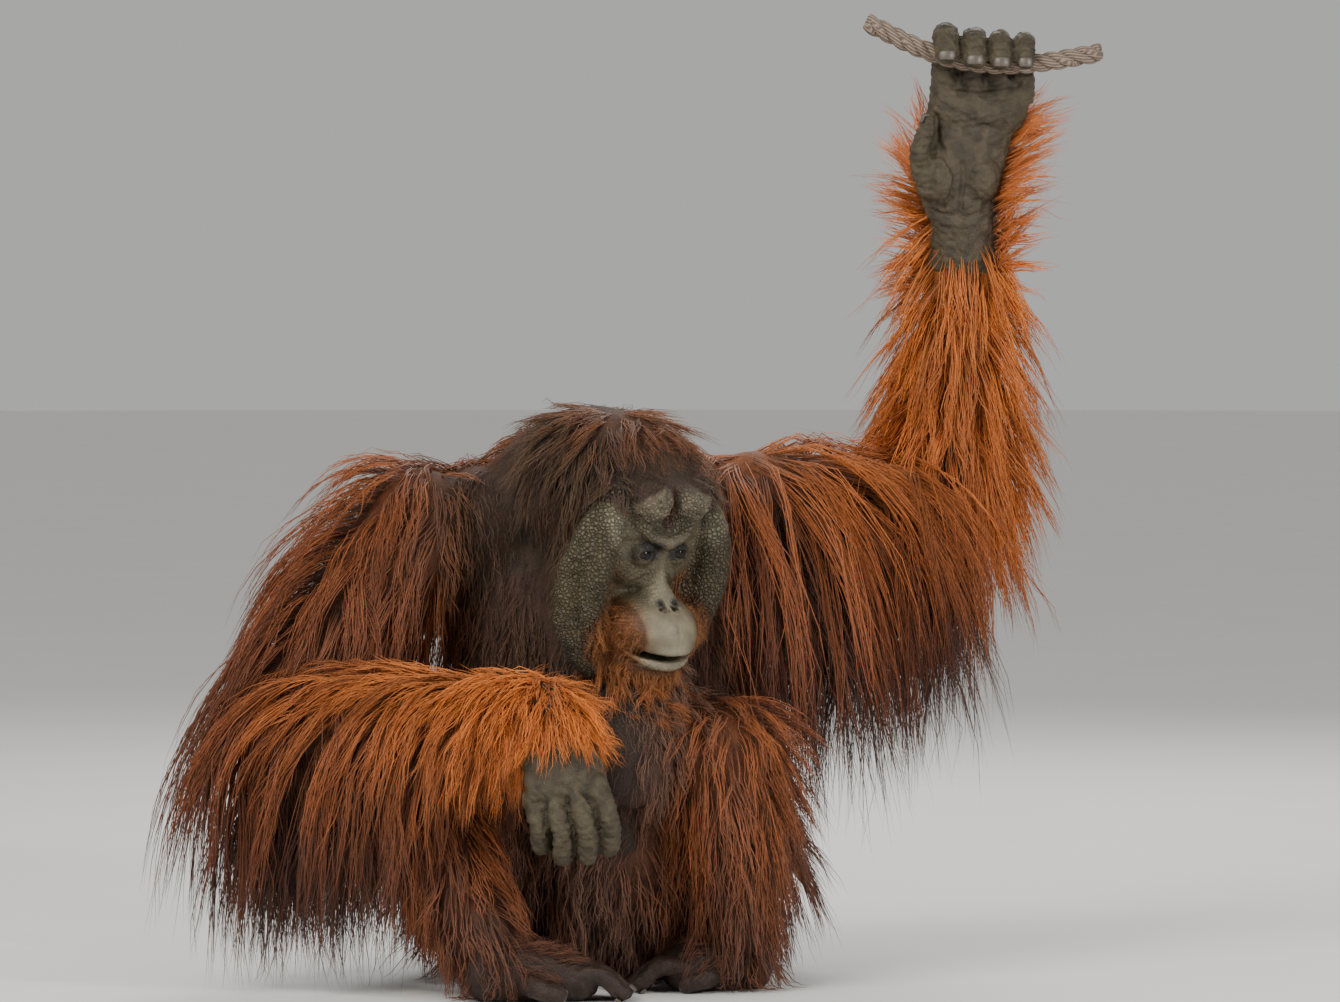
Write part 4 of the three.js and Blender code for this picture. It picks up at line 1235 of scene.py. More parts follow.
class Pelt:
    """A patch of skin with, for each vertex, how its coat grows."""

    def __init__(self, places, normals, triangles):
        self.places = places
        self.normals = normals
        self.triangles = triangles
        count = len(places)
        self.way = np.zeros((count, 3))
        self.length = np.zeros(count)
        self.cover = np.zeros(count)
        self.lift = np.full(count, 0.3)
        self.hang = np.full(count, 0.2)
        self.rise = np.full(count, 0.012)
        self.colour = np.zeros((count, 3))
        self.bake = np.zeros((count, 2))
        self.group = np.zeros(count, int)

    def soften(self, passes):
        """Evens out neighbouring values, so that the lie turns smoothly from one form to the next."""
        edges = np.unique(np.sort(self.triangles[:, [0, 1, 1, 2, 2, 0]].reshape(-1, 2), axis=1), axis=0)
        weight = np.ones(len(self.places))
        np.add.at(weight, edges.ravel(), 1)
        names = ("length", "lift", "hang", "rise")
        packed = np.column_stack([self.way, self.colour, *[getattr(self, name) for name in names]])
        for _ in range(passes):
            total = packed.copy()
            for column in range(packed.shape[1]):
                total[:, column] += np.bincount(edges[:, 0], packed[edges[:, 1], column], len(weight))
                total[:, column] += np.bincount(edges[:, 1], packed[edges[:, 0], column], len(weight))
            packed = total / weight[:, None]
        self.way, self.colour = unit(packed[:, :3]), packed[:, 3:6]
        for i, name in enumerate(names):
            setattr(self, name, packed[:, 6 + i])

    def sample(self, count, random):
        """Seeded spots spread by area and cover: their places and their nearest vertices."""
        corners = self.places[self.triangles]
        area = np.linalg.norm(np.cross(corners[:, 1] - corners[:, 0], corners[:, 2] - corners[:, 0]), axis=1)
        weight = area * self.cover[self.triangles].mean(axis=1)
        picked = np.searchsorted(np.cumsum(weight) / weight.sum(), random.random(count))
        picked = np.minimum(picked, len(weight) - 1)
        a, b = random.random(count), random.random(count)
        flip = a + b > 1
        a[flip], b[flip] = 1 - a[flip], 1 - b[flip]
        shares = np.column_stack([1 - a - b, a, b])
        places = np.einsum("ij,ijk->ik", shares, corners[picked])
        nearest = self.triangles[picked, shares.argmax(axis=1)]
        return places, nearest


def guide_lines(pelt, places, nearest, tree, random, rings):
    """Bent lines of hair that follow the lie, turn down as they hang and keep clear of the skin."""
    count = len(places)
    normals = pelt.normals[nearest]
    way = pelt.way[nearest]
    way = way - normals * dots(way, normals)
    sway = np.cross(normals, way) * random.normal(0, 0.26, (count, 1))
    lift = pelt.lift[nearest] * random.uniform(0.55, 1.35, count)
    way = unit(unit(way) + sway + normals * lift[:, None])
    length = pelt.length[nearest] * random.uniform(0.75, 1.15, count)
    step = (length / rings)[:, None]
    lines = np.zeros((count, rings + 1, 3))
    lines[:, 0] = places
    height = random.uniform(0.2, 1, count)
    curl = random.normal(0, 0.28, count)[:, None]
    phase = random.uniform(0, 2 * math.pi, count)[:, None]
    for k in range(1, rings + 1):
        following = lines[:, k - 1] + way * step
        wanted = 0.0025 + pelt.rise[nearest] * height * k / rings
        for i in range(count):
            at, normal, _, distance = tree.find_nearest(following[i])
            if at is None:
                continue
            offset = following[i] - np.array(at)
            signed = distance if offset @ np.array(normal) > 0 else -distance
            if signed < wanted[i]:
                following[i] += np.array(normal) * (wanted[i] - signed)
        following[:, 2] = np.maximum(following[:, 2], GUIDE_LOWEST)
        way = unit(following - lines[:, k - 1])
        way += curl * np.cos(phase + 1.6 * k) * np.cross(way, normals)
        way[:, 2] -= pelt.hang[nearest]
        way = unit(way)
        lines[:, k] = following
    return lines


def strand_lines(pelt, places, nearest, guides, guide_places, guide_normals, random, clump):
    """Lines of single strands that start at their own roots and draw together towards their guide's tip."""
    tree = KDTree(len(guide_places))
    for i, place in enumerate(guide_places):
        tree.insert(place, i)
    tree.balance()
    normals = pelt.normals[nearest]
    owner = np.zeros(len(places), int)
    for i, place in enumerate(places):
        found = tree.find_n(place, 4)
        best = max(found, key=lambda item: guide_normals[item[1]] @ normals[i] - 12 * item[2])
        owner[i] = best[1]
    rings = guides.shape[1] - 1
    share = np.linspace(0, 1, rings + 1)
    scale = random.uniform(0.62, 1.06, len(places))
    spot = share[None] * scale[:, None] * rings
    index = np.minimum(spot.astype(int), rings - 1)
    part = (spot - index)[..., None]
    rows = np.arange(len(places))[:, None]
    own = guides[owner]
    lines = own[rows, index] * (1 - part) + own[rows, index + 1] * part
    pull = clump * random.uniform(0.1, 1.7, len(places))
    offset = (places - guide_places[owner])[:, None] * (1 - pull[:, None] * share[None] ** 0.75)[..., None]
    lines = lines + offset
    along = unit(lines[:, -1] - lines[:, 0])
    across = unit(np.cross(along, normals))
    length = np.linalg.norm(lines[:, -1] - lines[:, 0], axis=1)
    phase = random.uniform(0, 2 * math.pi, (len(places), 1))
    waves = random.uniform(0.6, 1.6, (len(places), 1))
    amount = (0.036 * length * random.uniform(0.2, 1.6, len(places)))[:, None]
    bend = amount * np.sin(phase + waves * share[None] * 2 * math.pi) * share[None]
    lines = lines + across[:, None] * bend[..., None]
    stray = 0.012 * random.random(len(places)) ** 4 * np.minimum(length / 0.05, 1)
    lines += (stray[:, None] * share[None] ** 1.5)[..., None] * normals[:, None]
    lines[:, 1:] += random.normal(0, 0.0022, lines[:, 1:].shape) * share[None, 1:, None]
    lines[:, 0] -= normals * 0.003
    lines[..., 2] = np.maximum(lines[..., 2], LOWEST)
    return lines, owner


def strand_mesh(name, lines, normals, widths, colours, bakes):
    """Closed three-sided strands, tapered to a point, as one mesh with their colours and bake patches."""
    count = len(lines)
    rings = lines.shape[1] - 1
    along = unit(np.gradient(lines, axis=1))
    across = unit(np.cross(along, normals[:, None]))
    out = np.cross(across, along)
    share = np.linspace(0, 1, rings + 1)[:rings]
    profile = np.interp(share, [0, 0.25, 0.6, 1], [0.8, 1.0, 0.85, 0.25]) / 2
    half = widths[:, None] * profile[None]
    edges = []
    for turn in (math.pi / 2, math.pi * 7 / 6, math.pi * 11 / 6):
        reach = across[:, :rings] * math.cos(turn) + out[:, :rings] * math.sin(turn) * 0.7
        edges.append(lines[:, :rings] + reach * half[..., None])
    places = np.concatenate([np.stack(edges, axis=2).reshape(count, -1, 3), lines[:, rings:]], axis=1)
    per = 3 * rings + 1
    quads = [
        (3 * k + i, 3 * k + (i + 1) % 3, 3 * k + 3 + (i + 1) % 3, 3 * k + 3 + i)
        for k in range(rings - 1)
        for i in range(3)
    ]
    last = 3 * (rings - 1)
    tris = [(last + i, last + (i + 1) % 3, per - 1) for i in range(3)] + [(0, 2, 1)]
    pattern = np.array([c for face in quads + tris for c in face])
    sizes = np.array([len(face) for face in quads + tris])
    loops = (np.arange(count)[:, None] * per + pattern[None]).ravel()
    totals = np.tile(sizes, count)
    mesh = bpy.data.meshes.new(name)
    mesh.vertices.add(count * per)
    mesh.vertices.foreach_set("co", places.astype(np.float32).ravel())
    mesh.loops.add(len(loops))
    mesh.loops.foreach_set("vertex_index", loops.astype(np.int32))
    mesh.polygons.add(len(totals))
    mesh.polygons.foreach_set("loop_start", np.concatenate([[0], np.cumsum(totals)[:-1]]).astype(np.int32))
    mesh.polygons.foreach_set("use_smooth", np.ones(len(totals), bool))
    mesh.update(calc_edges=True)
    mesh.validate()
    level = np.concatenate([np.repeat(share, 3), [1.0]])
    # Painted shade along each strand: half as bright at the root, deep in the coat, a little brighter at the
    # tip
    shade = np.interp(level, [0, 0.25, 1], [0.5, 1.0, 1.15])
    reach = np.linalg.norm(np.diff(lines, axis=1), axis=2).sum(axis=1)
    # Long strands darker and redder towards the tip: partly painted shade on hanging hair, partly its redder
    # colour
    tip_shade_and_red = (smooth_step(0.07, 0.2, reach)[:, None] * level[None])[..., None] * TIP_SHADE_AND_RED
    paint(mesh, "tint", (colours[:, None] * shade[None, :, None] * (1 - tip_shade_and_red)).reshape(-1, 3))
    spots = np.zeros((count, per, 2))
    spots[:, :, 0] = bakes[:, None, 0] + 0.003 * (np.arange(per) % 3)[None] / 2
    spots[:, :, 1] = bakes[:, None, 1] + 0.003 * level[None]
    layer = mesh.uv_layers.new(name="OFBake")
    layer.data.foreach_set("uv", spots.reshape(-1, 2)[loops].astype(np.float32).ravel())
    return mesh


BAKE_TILES = 5


def bake_spot(tile, along, turn):
    """The place on the unwrap: a tile for each form, with the way along it and the turn round it."""
    column, row = tile % BAKE_TILES, tile // BAKE_TILES
    return np.column_stack(
        [(column + 0.03 + 0.92 * turn) / BAKE_TILES, (row + 0.03 + 0.92 * along) / BAKE_TILES]
    )


def located(places, forms):
    """For each place the nearest form, the way along it, the turn round it, and its direction there."""
    best = np.full(len(places), np.inf)
    form_of = np.zeros(len(places), int)
    along_share = np.zeros(len(places))
    turn = np.zeros(len(places))
    along = np.zeros((len(places), 3))
    for number, limb in enumerate(forms):
        for k in range(0, limb.steps + 1, 2):
            offset = places - limb.centre[k]
            x, y, z = offset @ limb.across[k], offset @ limb.along[k], offset @ limb.deep[k]
            length = (limb.width[k] + limb.depth[k]) / 2
            level = np.sqrt((x / limb.width[k]) ** 2 + (y / length) ** 2 + (z / limb.depth[k]) ** 2)
            distance = np.linalg.norm(offset, axis=1) * np.abs(1 - 1 / np.maximum(level, 1e-6))
            distance += 0.2 * np.abs(y)
            closer = distance < best
            best[closer] = distance[closer]
            form_of[closer] = number
            along_share[closer] = k / limb.steps
            turn[closer] = (np.arctan2(z, x)[closer] / (2 * math.pi)) % 1
            along[closer] = limb.along[k]
    return form_of, along_share, turn, along


DOWN = np.array((0.0, 0.0, -1.0))


def mesh_triangles(mesh):
    """A mesh's triangles as rows of vertex numbers."""
    mesh.calc_loop_triangles()
    flat = np.zeros(len(mesh.loop_triangles) * 3, np.int32)
    mesh.loop_triangles.foreach_get("vertices", flat)
    return flat.reshape(-1, 3)


def part_of(mesh, chosen):
    """The chosen vertices of a mesh as places, normals and renumbered triangles."""
    places, normals, triangles = places_of(mesh), normals_of(mesh), mesh_triangles(mesh)
    number = np.full(len(places), -1)
    number[chosen] = np.arange(chosen.sum())
    kept = number[triangles]
    return places[chosen], normals[chosen], kept[(kept >= 0).all(axis=1)]


# How each form's coat grows, each as one value or as its values at the form's start and end: length in
# millimetres, shares of the form's own direction and of down in the lie, lift off the skin, hang, rise at the
# tips in millimetres, and cover; then its colours at the start and at the end
COAT_FIELDS = ("length", "own", "down", "lift", "hang", "rise", "cover")
BODY_COAT = {
    "trunk": (150, 0, 1, 0.3, 0.3, 24, 1, "deep", "warm"),
    "nape": ((46, 40), -1.2, 0.6, 0.2, 0.15, 6, 0.9, "crown", "crown"),
    "throat": (40, 0, 1, 0.25, 0.2, 6, 0.7, "crown", "crown"),
    "throat_sac": (34, 0.3, 1, 0.2, 0.2, 5, (0.5, 0.35), "crown", "deep"),
    "upper_arm_right": ((130, 310), 1.0, 1, (0.35, 0.2), (0.35, 0.8), (20, 18), (1.3, 1.6), "warm", "deep"),
    "upper_arm_left": ((400, 210), 0.1, 1, (0.25, 0.2), 0.6, (20, 12), (1.5, 1.7), "warm", "deep"),
    "forearm_right": ((230, 64), (-0.6, 0.1), 1, (0.4, 0.7), 0.45, (26, 24), (1.4, 3.2), "warm", "bright"),
    "forearm_left": ((170, 120), -0.6, 0.4, (0.6, 0.7), (0.2, 0.1), (34, 40), (1.4, 1.7), "bright", "bright"),
    "thigh_right": (130, 0.5, 1, 0.35, 0.3, 16, 0.9, "deep", "deep"),
    "thigh_left": (130, 0.5, 1, 0.4, 0.3, 18, 0.9, "deep", "warm"),
    "shank_right": ((120, 90), 0.7, 0.8, 0.35, 0.3, 12, 0.9, "warm", "deep"),
    "shank_left": ((120, 90), 0.7, 0.8, 0.35, 0.3, 12, 0.9, "warm", "deep"),
}
COAT_GROUPS = {"nape": "coat_neck", "throat": "coat_neck", "throat_sac": "coat_neck"}
BELLY_COAT = linear(134, 98, 80)
SAC_COAT = linear(128, 94, 76)
BEARD_COAT = linear(158, 100, 54)


def coat_colour(name):
    """A named colour of the coat."""
    return np.array(getattr(settings(), f"coat_{name}"))


def shade_under(mesh, chosen, pelt):
    """Paints the skin under a dense coat in its coat's colour, darkened as painted shade deep in the coat."""
    rgba = np.zeros(len(mesh.vertices) * 4, np.float32)
    layer = mesh.color_attributes["tint"]
    layer.data.foreach_get("color", rgba)
    rgba = rgba.reshape(-1, 4)
    share = smooth_step(0.3, 0.8, pelt.cover)
    rgba[chosen, :3] = blend_colours(rgba[chosen, :3], 0, share) + 0.42 * pelt.colour * share[:, None]
    layer.data.foreach_set("color", rgba.ravel())


def body_pelt(skin):
    """The body's pelt, with the coat of each form evened out where forms meet."""
    chosen = np.zeros(len(skin.vertices), np.float32)
    skin.attributes["is_head"].data.foreach_get("value", chosen)
    pelt = Pelt(*part_of(skin, chosen < 0.5))
    form_of, share, turn, along = located(pelt.places, list(BODY_FORMS.values()))
    on = {name: form_of == number for number, name in enumerate(BODY_FORMS)}
    for number, name in enumerate(BODY_FORMS):
        *habit, start, end = BODY_COAT[name]
        here = on[name]
        part = share[here]
        ends = {field: np.broadcast_to(value, 2) for field, value in zip(COAT_FIELDS, habit)}
        lie = {field: np.interp(part, [0, 1], values) for field, values in ends.items()}
        pelt.length[here] = lie["length"] * MM
        pelt.rise[here] = lie["rise"] * MM
        own = np.interp(smooth_step(0.72, 0.95, part), [0, 1], ends["own"])
        pelt.way[here] = unit(own[:, None] * along[here] + lie["down"][:, None] * DOWN)
        pelt.lift[here], pelt.hang[here], pelt.cover[here] = lie["lift"], lie["hang"], lie["cover"]
        pelt.colour[here] = blend_colours(np.tile(coat_colour(start), (len(part), 1)), coat_colour(end), part)
        pelt.bake[here] = bake_spot(number, part, turn[here])
        pelt.group[here] = number
    x, y, z = from_frame(pelt.places).T
    torso = on["trunk"]
    front = smooth_step(0.1, 0.75, -pelt.normals[:, 1]) * torso
    pelt.length *= 1 - 0.68 * front
    pelt.cover += 0.8 * front
    pelt.cover *= 1 - 0.5 * front * smooth_step(300, 400, z)
    pelt.lift *= 1 - 0.5 * front
    pelt.rise *= 1 - 0.7 * front
    pelt.colour = blend_colours(pelt.colour, coat_colour("crown"), 0.8 * front * smooth_step(220, 380, z))
    pelt.colour = blend_colours(pelt.colour, BELLY_COAT, 0.95 * front * smooth_step(400, 260, z))
    balls = smooth_step(430, 520, z) * torso * (1 - front)
    pelt.way[:, 0] += 0.5 * np.sign(x + 40) * balls
    pelt.lift *= 1 - 0.6 * balls
    pelt.rise *= 1 - 0.6 * balls
    pelt.length *= 1 - 0.35 * balls
    pelt.way = unit(pelt.way)
    behind = smooth_step(-25, 35, y)
    neckward = smooth_step(-240, -195, x) * smooth_step(100, 50, x) * smooth_step(450, 520, z) * (1 - behind)
    pelt.length *= 1 - 0.65 * neckward
    pelt.rise *= 1 - 0.6 * neckward
    pelt.colour = blend_colours(pelt.colour, coat_colour("crown"), 0.9 * neckward)
    upper_back = behind * smooth_step(380, 470, z) * (torso + on["nape"])
    pelt.length = np.maximum(pelt.length, 120 * MM * upper_back)
    pelt.rise = np.maximum(pelt.rise, 16 * MM * upper_back)
    pelt.cover = np.maximum(pelt.cover, upper_back)
    pelt.way = unit(pelt.way + upper_back[:, None] * (2 * DOWN + (0, 0.6, 0)))
    pelt.colour = blend_colours(pelt.colour, coat_colour("warm"), 0.8 * upper_back)
    outer = on["upper_arm_right"] * smooth_step(0.1, 0.7, -pelt.normals[:, 0]) * smooth_step(-470, -380, x)
    pelt.length = np.maximum(pelt.length, 210 * MM * outer)
    pelt.lift += 0.6 * outer
    pelt.rise += 24 * MM * outer
    haired = on["throat_sac"] * smooth_step(22, 36, x)
    pelt.cover += haired
    pelt.length = np.maximum(pelt.length, 48 * MM * haired)
    pelt.colour = blend_colours(pelt.colour, SAC_COAT, 0.9 * haired)
    flow = np.column_stack([ripple(pelt.places / MM, 75, seed) for seed in (41, 42, 43)])
    pelt.way = unit(pelt.way + 0.5 * (1 - 0.5 * front[:, None]) * flow)
    facing_up = pelt.normals[:, 2]
    under = on["forearm_right"] * smooth_step(-190, -250, x) * smooth_step(0.3, -0.2, facing_up)
    pelt.length = np.where(under > 0.5, np.maximum(pelt.length, (z - 16) * MM), pelt.length)
    pelt.way = unit(pelt.way + 3 * under[:, None] * DOWN)
    pelt.hang += 0.4 * under
    pelt.cover += 1.2 * under
    pelt.lift *= 1 - 0.7 * under
    # Hair hanging under the right forearm takes the deep coat's colour, darkened further as painted shade
    # under the arm
    pelt.colour = blend_colours(pelt.colour, 0.8 * coat_colour("deep"), 0.9 * under)
    lit = 0.6 * on["upper_arm_left"] * smooth_step(0.5, 0.95, facing_up)
    pelt.colour = blend_colours(pelt.colour, coat_colour("bright"), lit)
    shaded_side = 0.8 * on["upper_arm_left"] * smooth_step(0.6, 0, facing_up)
    pelt.colour = blend_colours(pelt.colour, 0.75 * coat_colour("deep"), shaded_side)
    wrist = on["forearm_left"] * smooth_step(0.8, 0.9, share)
    pelt.cover *= 1 - wrist * smooth_step(0.2, 0.5, -pelt.normals[:, 1])
    pelt.soften(14)
    buried = np.linalg.norm(to_head(pelt.places) / (84, 110, 110) - (0, 0.6, 0.1), axis=1) < 0.95
    pelt.cover[buried] = 0
    pelt.cover[z < 12] = 0
    shade_under(skin, chosen < 0.5, pelt)
    return pelt


def head_pelt(skin):
    """The head's pelt: hair that radiates from the crown, a beard, and short hair beside the muzzle."""
    chosen = np.zeros(len(skin.vertices), np.float32)
    skin.attributes["is_head"].data.foreach_get("value", chosen)
    pelt = Pelt(*part_of(skin, chosen > 0.5))
    h = to_head(pelt.places)
    half = one_half(h)
    mirror, y, z = half.T
    axes = np.array(HEAD_AXES)[:3, :3]
    down = DOWN @ axes
    wander = np.column_stack([ripple(h, 46, seed) for seed in (22, 23, 24)])
    nape = smooth_step(60, 130, y)[:, None]
    radiate = unit(h - (0, 150, 140)) + (0.6 + 1.2 * nape) * down + 0.25 * wander
    hairline = 101 - 0.5 * mirror + 3 * ripple(h, 50, 21)
    scalp = np.clip(smooth_step(-4, 4, z - hairline) + smooth_step(44, 52, y), 0, 1)
    pads = smooth_step(50, 62, mirror) * (1 - smooth_step(42, 50, y)) * (1 - smooth_step(70, 86, z))
    beard = smooth_step(-121, -128, z) * (1 - pads) * (1 - smooth_step(40, 60, y))
    moustache = near(half, *MOUSTACHE) * smooth_step(12, 44, mirror)
    brow = near(half, (0, -6, 58), (8, 30, 40))
    lips = near(half, (24, -56, -106), (46, 50, 11))
    temple = near(half, (66, 24, 76), (34, 60, 26))
    pelt.cover = scalp + (4 * beard + 3.5 * moustache**2) * (1 - lips) + brow + 0.1 * pads + temple
    way = radiate * scalp[:, None] + (down + (0, -0.25, 0)) * beard[:, None] + down * (brow + pads)[:, None]
    way += np.array((0, 0.35, -1.0)) * moustache[:, None] + 0.001 * down
    pelt.cover[pelt.cover < 0.1] = 0
    pelt.way = unit(way) @ axes.T
    back = smooth_step(20, 120, y)
    fringe = np.clip(9 + 0.9 * (z - hairline), 9, 42) * (y < 50)
    pelt.length = scalp * np.maximum(fringe, (42 + 60 * back) * smooth_step(42, 56, y)) + pads * 6 + brow * 10
    chin = smooth_step(-124, -160, z)
    pelt.length = np.clip(pelt.length + beard * (18 + 46 * chin) + moustache * 12 + temple * 14, 4, 90) * MM
    pelt.lift = 0.05 + 0.2 * beard + 0.06 * moustache
    pelt.hang = 0.06 + 0.14 * beard
    pelt.rise = (1 + 2 * back + 10 * beard * chin) * MM
    colour = np.tile(coat_colour("crown"), (len(h), 1))
    colour = blend_colours(colour, coat_colour("warm"), 0.45 * scalp * smooth_step(90, 140, z) + 0.3 * brow)
    orange = blend_colours(np.tile(BEARD_COAT, (len(h), 1)), coat_colour("warm"), 0.6 * chin)
    pelt.colour = colour + (orange - colour) * np.clip(beard + moustache, 0, 1)[:, None]
    shade_under(skin, chosen > 0.5, pelt)
    turn = (np.arctan2(h[:, 0], 60 - y) / (2 * math.pi)) % 1
    pelt.bake = bake_spot(len(BODY_FORMS), np.clip((z + 190) / 340, 0, 1), turn)
    return pelt


def limb_pelt(mesh, palm, tile, length, own, colour):
    """The coat of a hand or foot, still without cover, and the share of the way along it."""
    pelt = Pelt(places_of(mesh), normals_of(mesh), mesh_triangles(mesh))
    _, share, turn, along = located(pelt.places, [palm])
    pelt.length = np.full(len(share), length * MM)
    pelt.way = unit(own * along + 0.5 * DOWN)
    pelt.rise[:] = 6 * MM
    pelt.colour = np.tile(coat_colour(colour), (len(share), 1))
    pelt.bake = bake_spot(tile, share, turn)
    return pelt, share


def grow(pelt, count, seed, clump, tree, width, rings):
    """Strands grown on a pelt: their lines, root normals, widths, colours, bake places and groups."""
    random = np.random.default_rng(seed)
    guide_places, guide_nearest = pelt.sample(max(count // GUIDE_SHARE, 20), random)
    guides = guide_lines(pelt, guide_places, guide_nearest, tree, random, rings)
    places, nearest = pelt.sample(count, random)
    lines, owner = strand_lines(
        pelt, places, nearest, guides, guide_places, pelt.normals[guide_nearest], random, clump
    )
    lock_tone = random.normal(1, 0.16, len(guides))[owner]
    own_tone = random.normal(1, 0.10, count)
    colours = pelt.colour[nearest] * np.clip(lock_tone * own_tone, 0.5, 1.6)[:, None]
    reach = np.linalg.norm(np.diff(lines, axis=1), axis=2).sum(axis=1)
    widths = width * random.uniform(0.7, 1.25, count) * np.clip(reach / 0.06, 0.35, 1)
    return lines, pelt.normals[nearest], widths, colours, pelt.bake[nearest], pelt.group[nearest]


def finish_coat(name, strands, material):
    """Makes coat pieces from strands, each within its share of triangles."""
    triangles = 6 * strands[0].shape[1] - 8
    pieces = -(-len(strands[0]) * triangles // LARGEST_PIECE)
    for k in range(pieces):
        label = name if pieces == 1 else f"{name}_{k + 1}"
        chosen = slice(k, None, pieces)
        finished(label, strand_mesh(label, *[values[chosen] for values in strands[:5]]), material)


HEAD_STRANDS = 12000
FOOT_STRANDS = 700

# Each hand's coat: the side of the hand that it grows on, how far it reaches towards the fingers, the share
# of the hand's own direction in its lie, its length in millimetres and its number of strands
HAND_COAT = {
    "right": ((0.1, -0.7, 0.6), 0.3, 0.8, 58, 1900),
    "left": ((0.45, 0.9, 0), 0.9, 0.62, 84, 4200),
}


class ORANGUTAN_OT_coat(bpy.types.Operator):
    """Grows the coat on the body, head, hands and feet"""

    bl_idname = "orangutan.coat"
    bl_label = "Coat"

    def execute(self, context):
        tones = settings()
        material = coat_material()
        skin = bpy.data.objects["skin"].data
        hands = {side: bpy.data.objects[f"hand_skin_{side}"].data for side in SIDES}
        feet = {side: bpy.data.objects[f"foot_skin_{side}"].data for side in SIDES}
        whole = joined("whole", [skin, *hands.values(), *feet.values()])
        bm = bmesh.new()
        bm.from_mesh(whole)
        tree = BVHTree.FromBMesh(bm)
        bm.free()
        bpy.data.meshes.remove(whole)
        density = 1
        body = grow(body_pelt(skin), int(tones.strand_count * density), 31, 0.24, tree, tones.strand_width, 5)
        names = [COAT_GROUPS.get(name, f"coat_{name}") for name in BODY_FORMS]
        for label in dict.fromkeys(names):
            numbers = [i for i, name in enumerate(names) if name == label]
            here = np.isin(body[5], numbers)
            finish_coat(label, [values[here] for values in body], material)
        head = grow(head_pelt(skin), int(HEAD_STRANDS * density), 32, 0.35, tree, 0.8 * tones.strand_width, 4)
        finish_coat("coat_head", head, material)
        for number, side in enumerate(SIDES):
            back, reach, own, length, count = HAND_COAT[side]
            tile = len(BODY_FORMS) + 1 + number
            pelt, share = limb_pelt(hands[side], PALM[side], tile, length, own, "bright")
            pelt.cover = (pelt.normals @ np.array(back) > 0) * (share < reach)
            if side == "left":
                pelt.lift[:] = 0.9
                pelt.hang[:] = 0.05
                pelt.rise[:] = 24 * MM
                pelt.cover *= (pelt.places[:, 2] < 1.03) | (pelt.normals[:, 0] > -0.3)
                pelt.cover *= pelt.places[:, 1] > 0.026
            strands = grow(pelt, int(count * density), 41 + number, 0.12, tree, 0.75 * tones.strand_width, 4)
            finish_coat(f"coat_hand_{side}", strands, material)
            pelt, share = limb_pelt(feet[side], FOOT[side], tile + len(SIDES), 38, 0.8, "deep")
            pelt.cover = (pelt.normals[:, 2] > 0.1) * (pelt.places[:, 2] > 0.03) * (share < 0.8)
            width = 0.6 * tones.strand_width
            strands = grow(pelt, int(FOOT_STRANDS * density), 51 + number, 0.4, tree, width, 3)
            finish_coat(f"coat_foot_{side}", strands, material)
        return {"FINISHED"}


def add_light(name, place, aim, size, power, colour=(1, 1, 1)):
    """Adds a soft square light that faces its aim point."""
    light = bpy.data.lights.new(name, "AREA")
    light.size = size
    light.energy = power
    light.color = colour
    lamp = bpy.data.objects.new(name, light)
    bpy.context.scene.collection.objects.link(lamp)
    lamp.location = place
    lamp.rotation_euler = (Vector(aim) - Vector(place)).to_track_quat("-Z", "Y").to_euler()


# The point that the camera looks at and the floor's radius in metres, and the sensor and lens in millimetres
AIM = (0.060, -0.135, 0.577)
FLOOR_RADIUS = 30
SENSOR_WIDTH = 36
LENS = 201.6


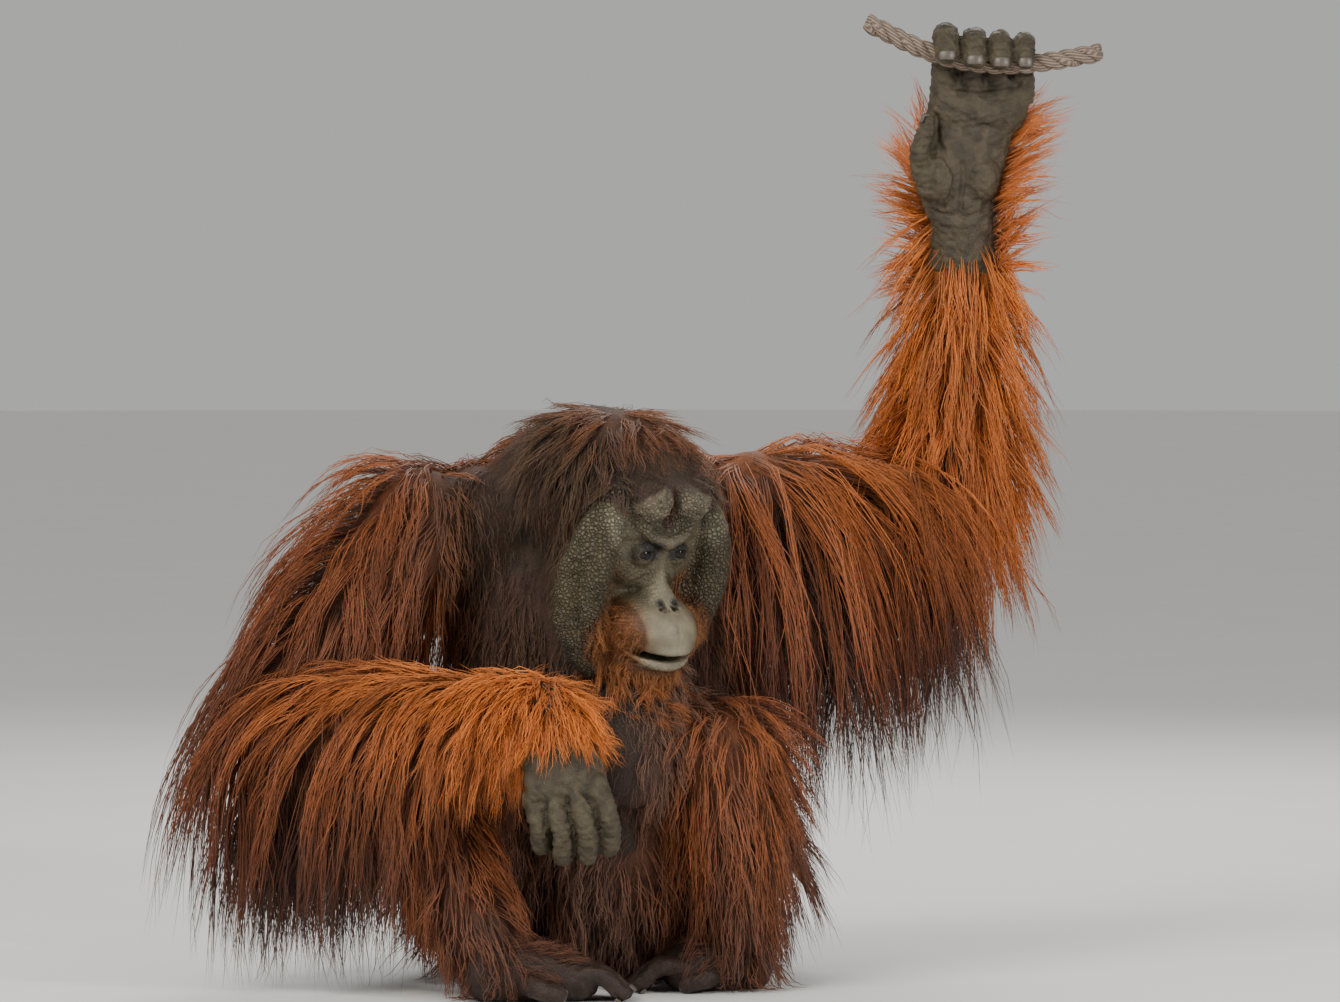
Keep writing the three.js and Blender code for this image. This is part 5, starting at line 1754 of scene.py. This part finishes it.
class ORANGUTAN_OT_stage(bpy.types.Operator):
    """Sets up the pale floor, the soft lights and the camera"""

    bl_idname = "orangutan.stage"
    bl_label = "Stage"

    def execute(self, context):
        tones = settings()
        camera = bpy.data.objects.new("camera", bpy.data.cameras.new("camera"))
        context.scene.collection.objects.link(camera)
        camera.data.sensor_width = SENSOR_WIDTH
        camera.data.lens = LENS
        camera.data.clip_end = 60
        rise = tones.camera_rise
        camera.location = Vector(AIM) + Vector((0, -math.cos(rise), math.sin(rise))) * tones.camera_distance
        camera.rotation_euler = (math.pi / 2 - rise, 0, 0)
        context.scene.camera = camera

        bm = bmesh.new()
        bmesh.ops.create_circle(bm, cap_ends=True, segments=96, radius=FLOOR_RADIUS)
        floor = bpy.data.objects.new("floor", mesh_of("floor", bm))
        context.scene.collection.objects.link(floor)
        material, shader, tree, add = node_material("floor")
        dark = [c * 0.94 for c in tones.floor_tone]
        colour = mixed(tree, add, noise(add, 3, 4), dark, tones.floor_tone)
        tree.links.new(colour, shader.inputs["Base Color"])
        shader.inputs["Roughness"].default_value = 0.8
        floor.data.materials.append(material)

        world = bpy.data.worlds.new("studio")
        context.scene.world = world
        world.use_nodes = True
        world.node_tree.nodes["Background"].inputs["Color"].default_value = (0.86, 0.855, 0.845, 1)
        world.node_tree.nodes["Background"].inputs["Strength"].default_value = 0.55
        add_light("key", (-2.2, -3.4, 3.6), (0, 0, 0.5), 2.6, tones.key_power, (1, 0.97, 0.92))
        add_light("fill", (3.2, -3.2, 2.0), (0, 0, 0.5), 0.35, 0.45 * tones.key_power)
        add_light("back", (0.8, 3.2, 3.0), (0, 0, 0.7), 2.4, 0.4 * tones.key_power)
        return {"FINISHED"}


class ORANGUTAN_PT_panel(bpy.types.Panel):
    """Lists the steps and the model's sizes and colours"""

    bl_label = "Orangutan"
    bl_idname = "ORANGUTAN_PT_panel"
    bl_space_type = "VIEW_3D"
    bl_region_type = "UI"
    bl_category = "Orangutan"

    def draw(self, context):
        for name in STEPS:
            self.layout.operator(f"orangutan.{name}")
        for name in OrangutanSettings.__annotations__:
            self.layout.prop(context.scene.orangutan, name)


STEPS = ("stage", "skin", "hands_and_feet", "eyes", "nails", "rope", "coat")
CLASSES = (
    OrangutanSettings,
    ORANGUTAN_OT_stage,
    ORANGUTAN_OT_skin,
    ORANGUTAN_OT_hands_and_feet,
    ORANGUTAN_OT_eyes,
    ORANGUTAN_OT_nails,
    ORANGUTAN_OT_rope,
    ORANGUTAN_OT_coat,
    ORANGUTAN_PT_panel,
)


def register():
    """Registers the classes and the scene's settings."""
    for cls in CLASSES:
        bpy.utils.register_class(cls)
    bpy.types.Scene.orangutan = bpy.props.PointerProperty(type=OrangutanSettings)


def unregister():
    """Removes the scene's settings and the classes."""
    del bpy.types.Scene.orangutan
    for cls in reversed(CLASSES):
        bpy.utils.unregister_class(cls)


def main():
    """Builds the model step by step."""
    register()
    for name in STEPS:
        getattr(bpy.ops.orangutan, name)()


if __name__ == "__main__":
    main()
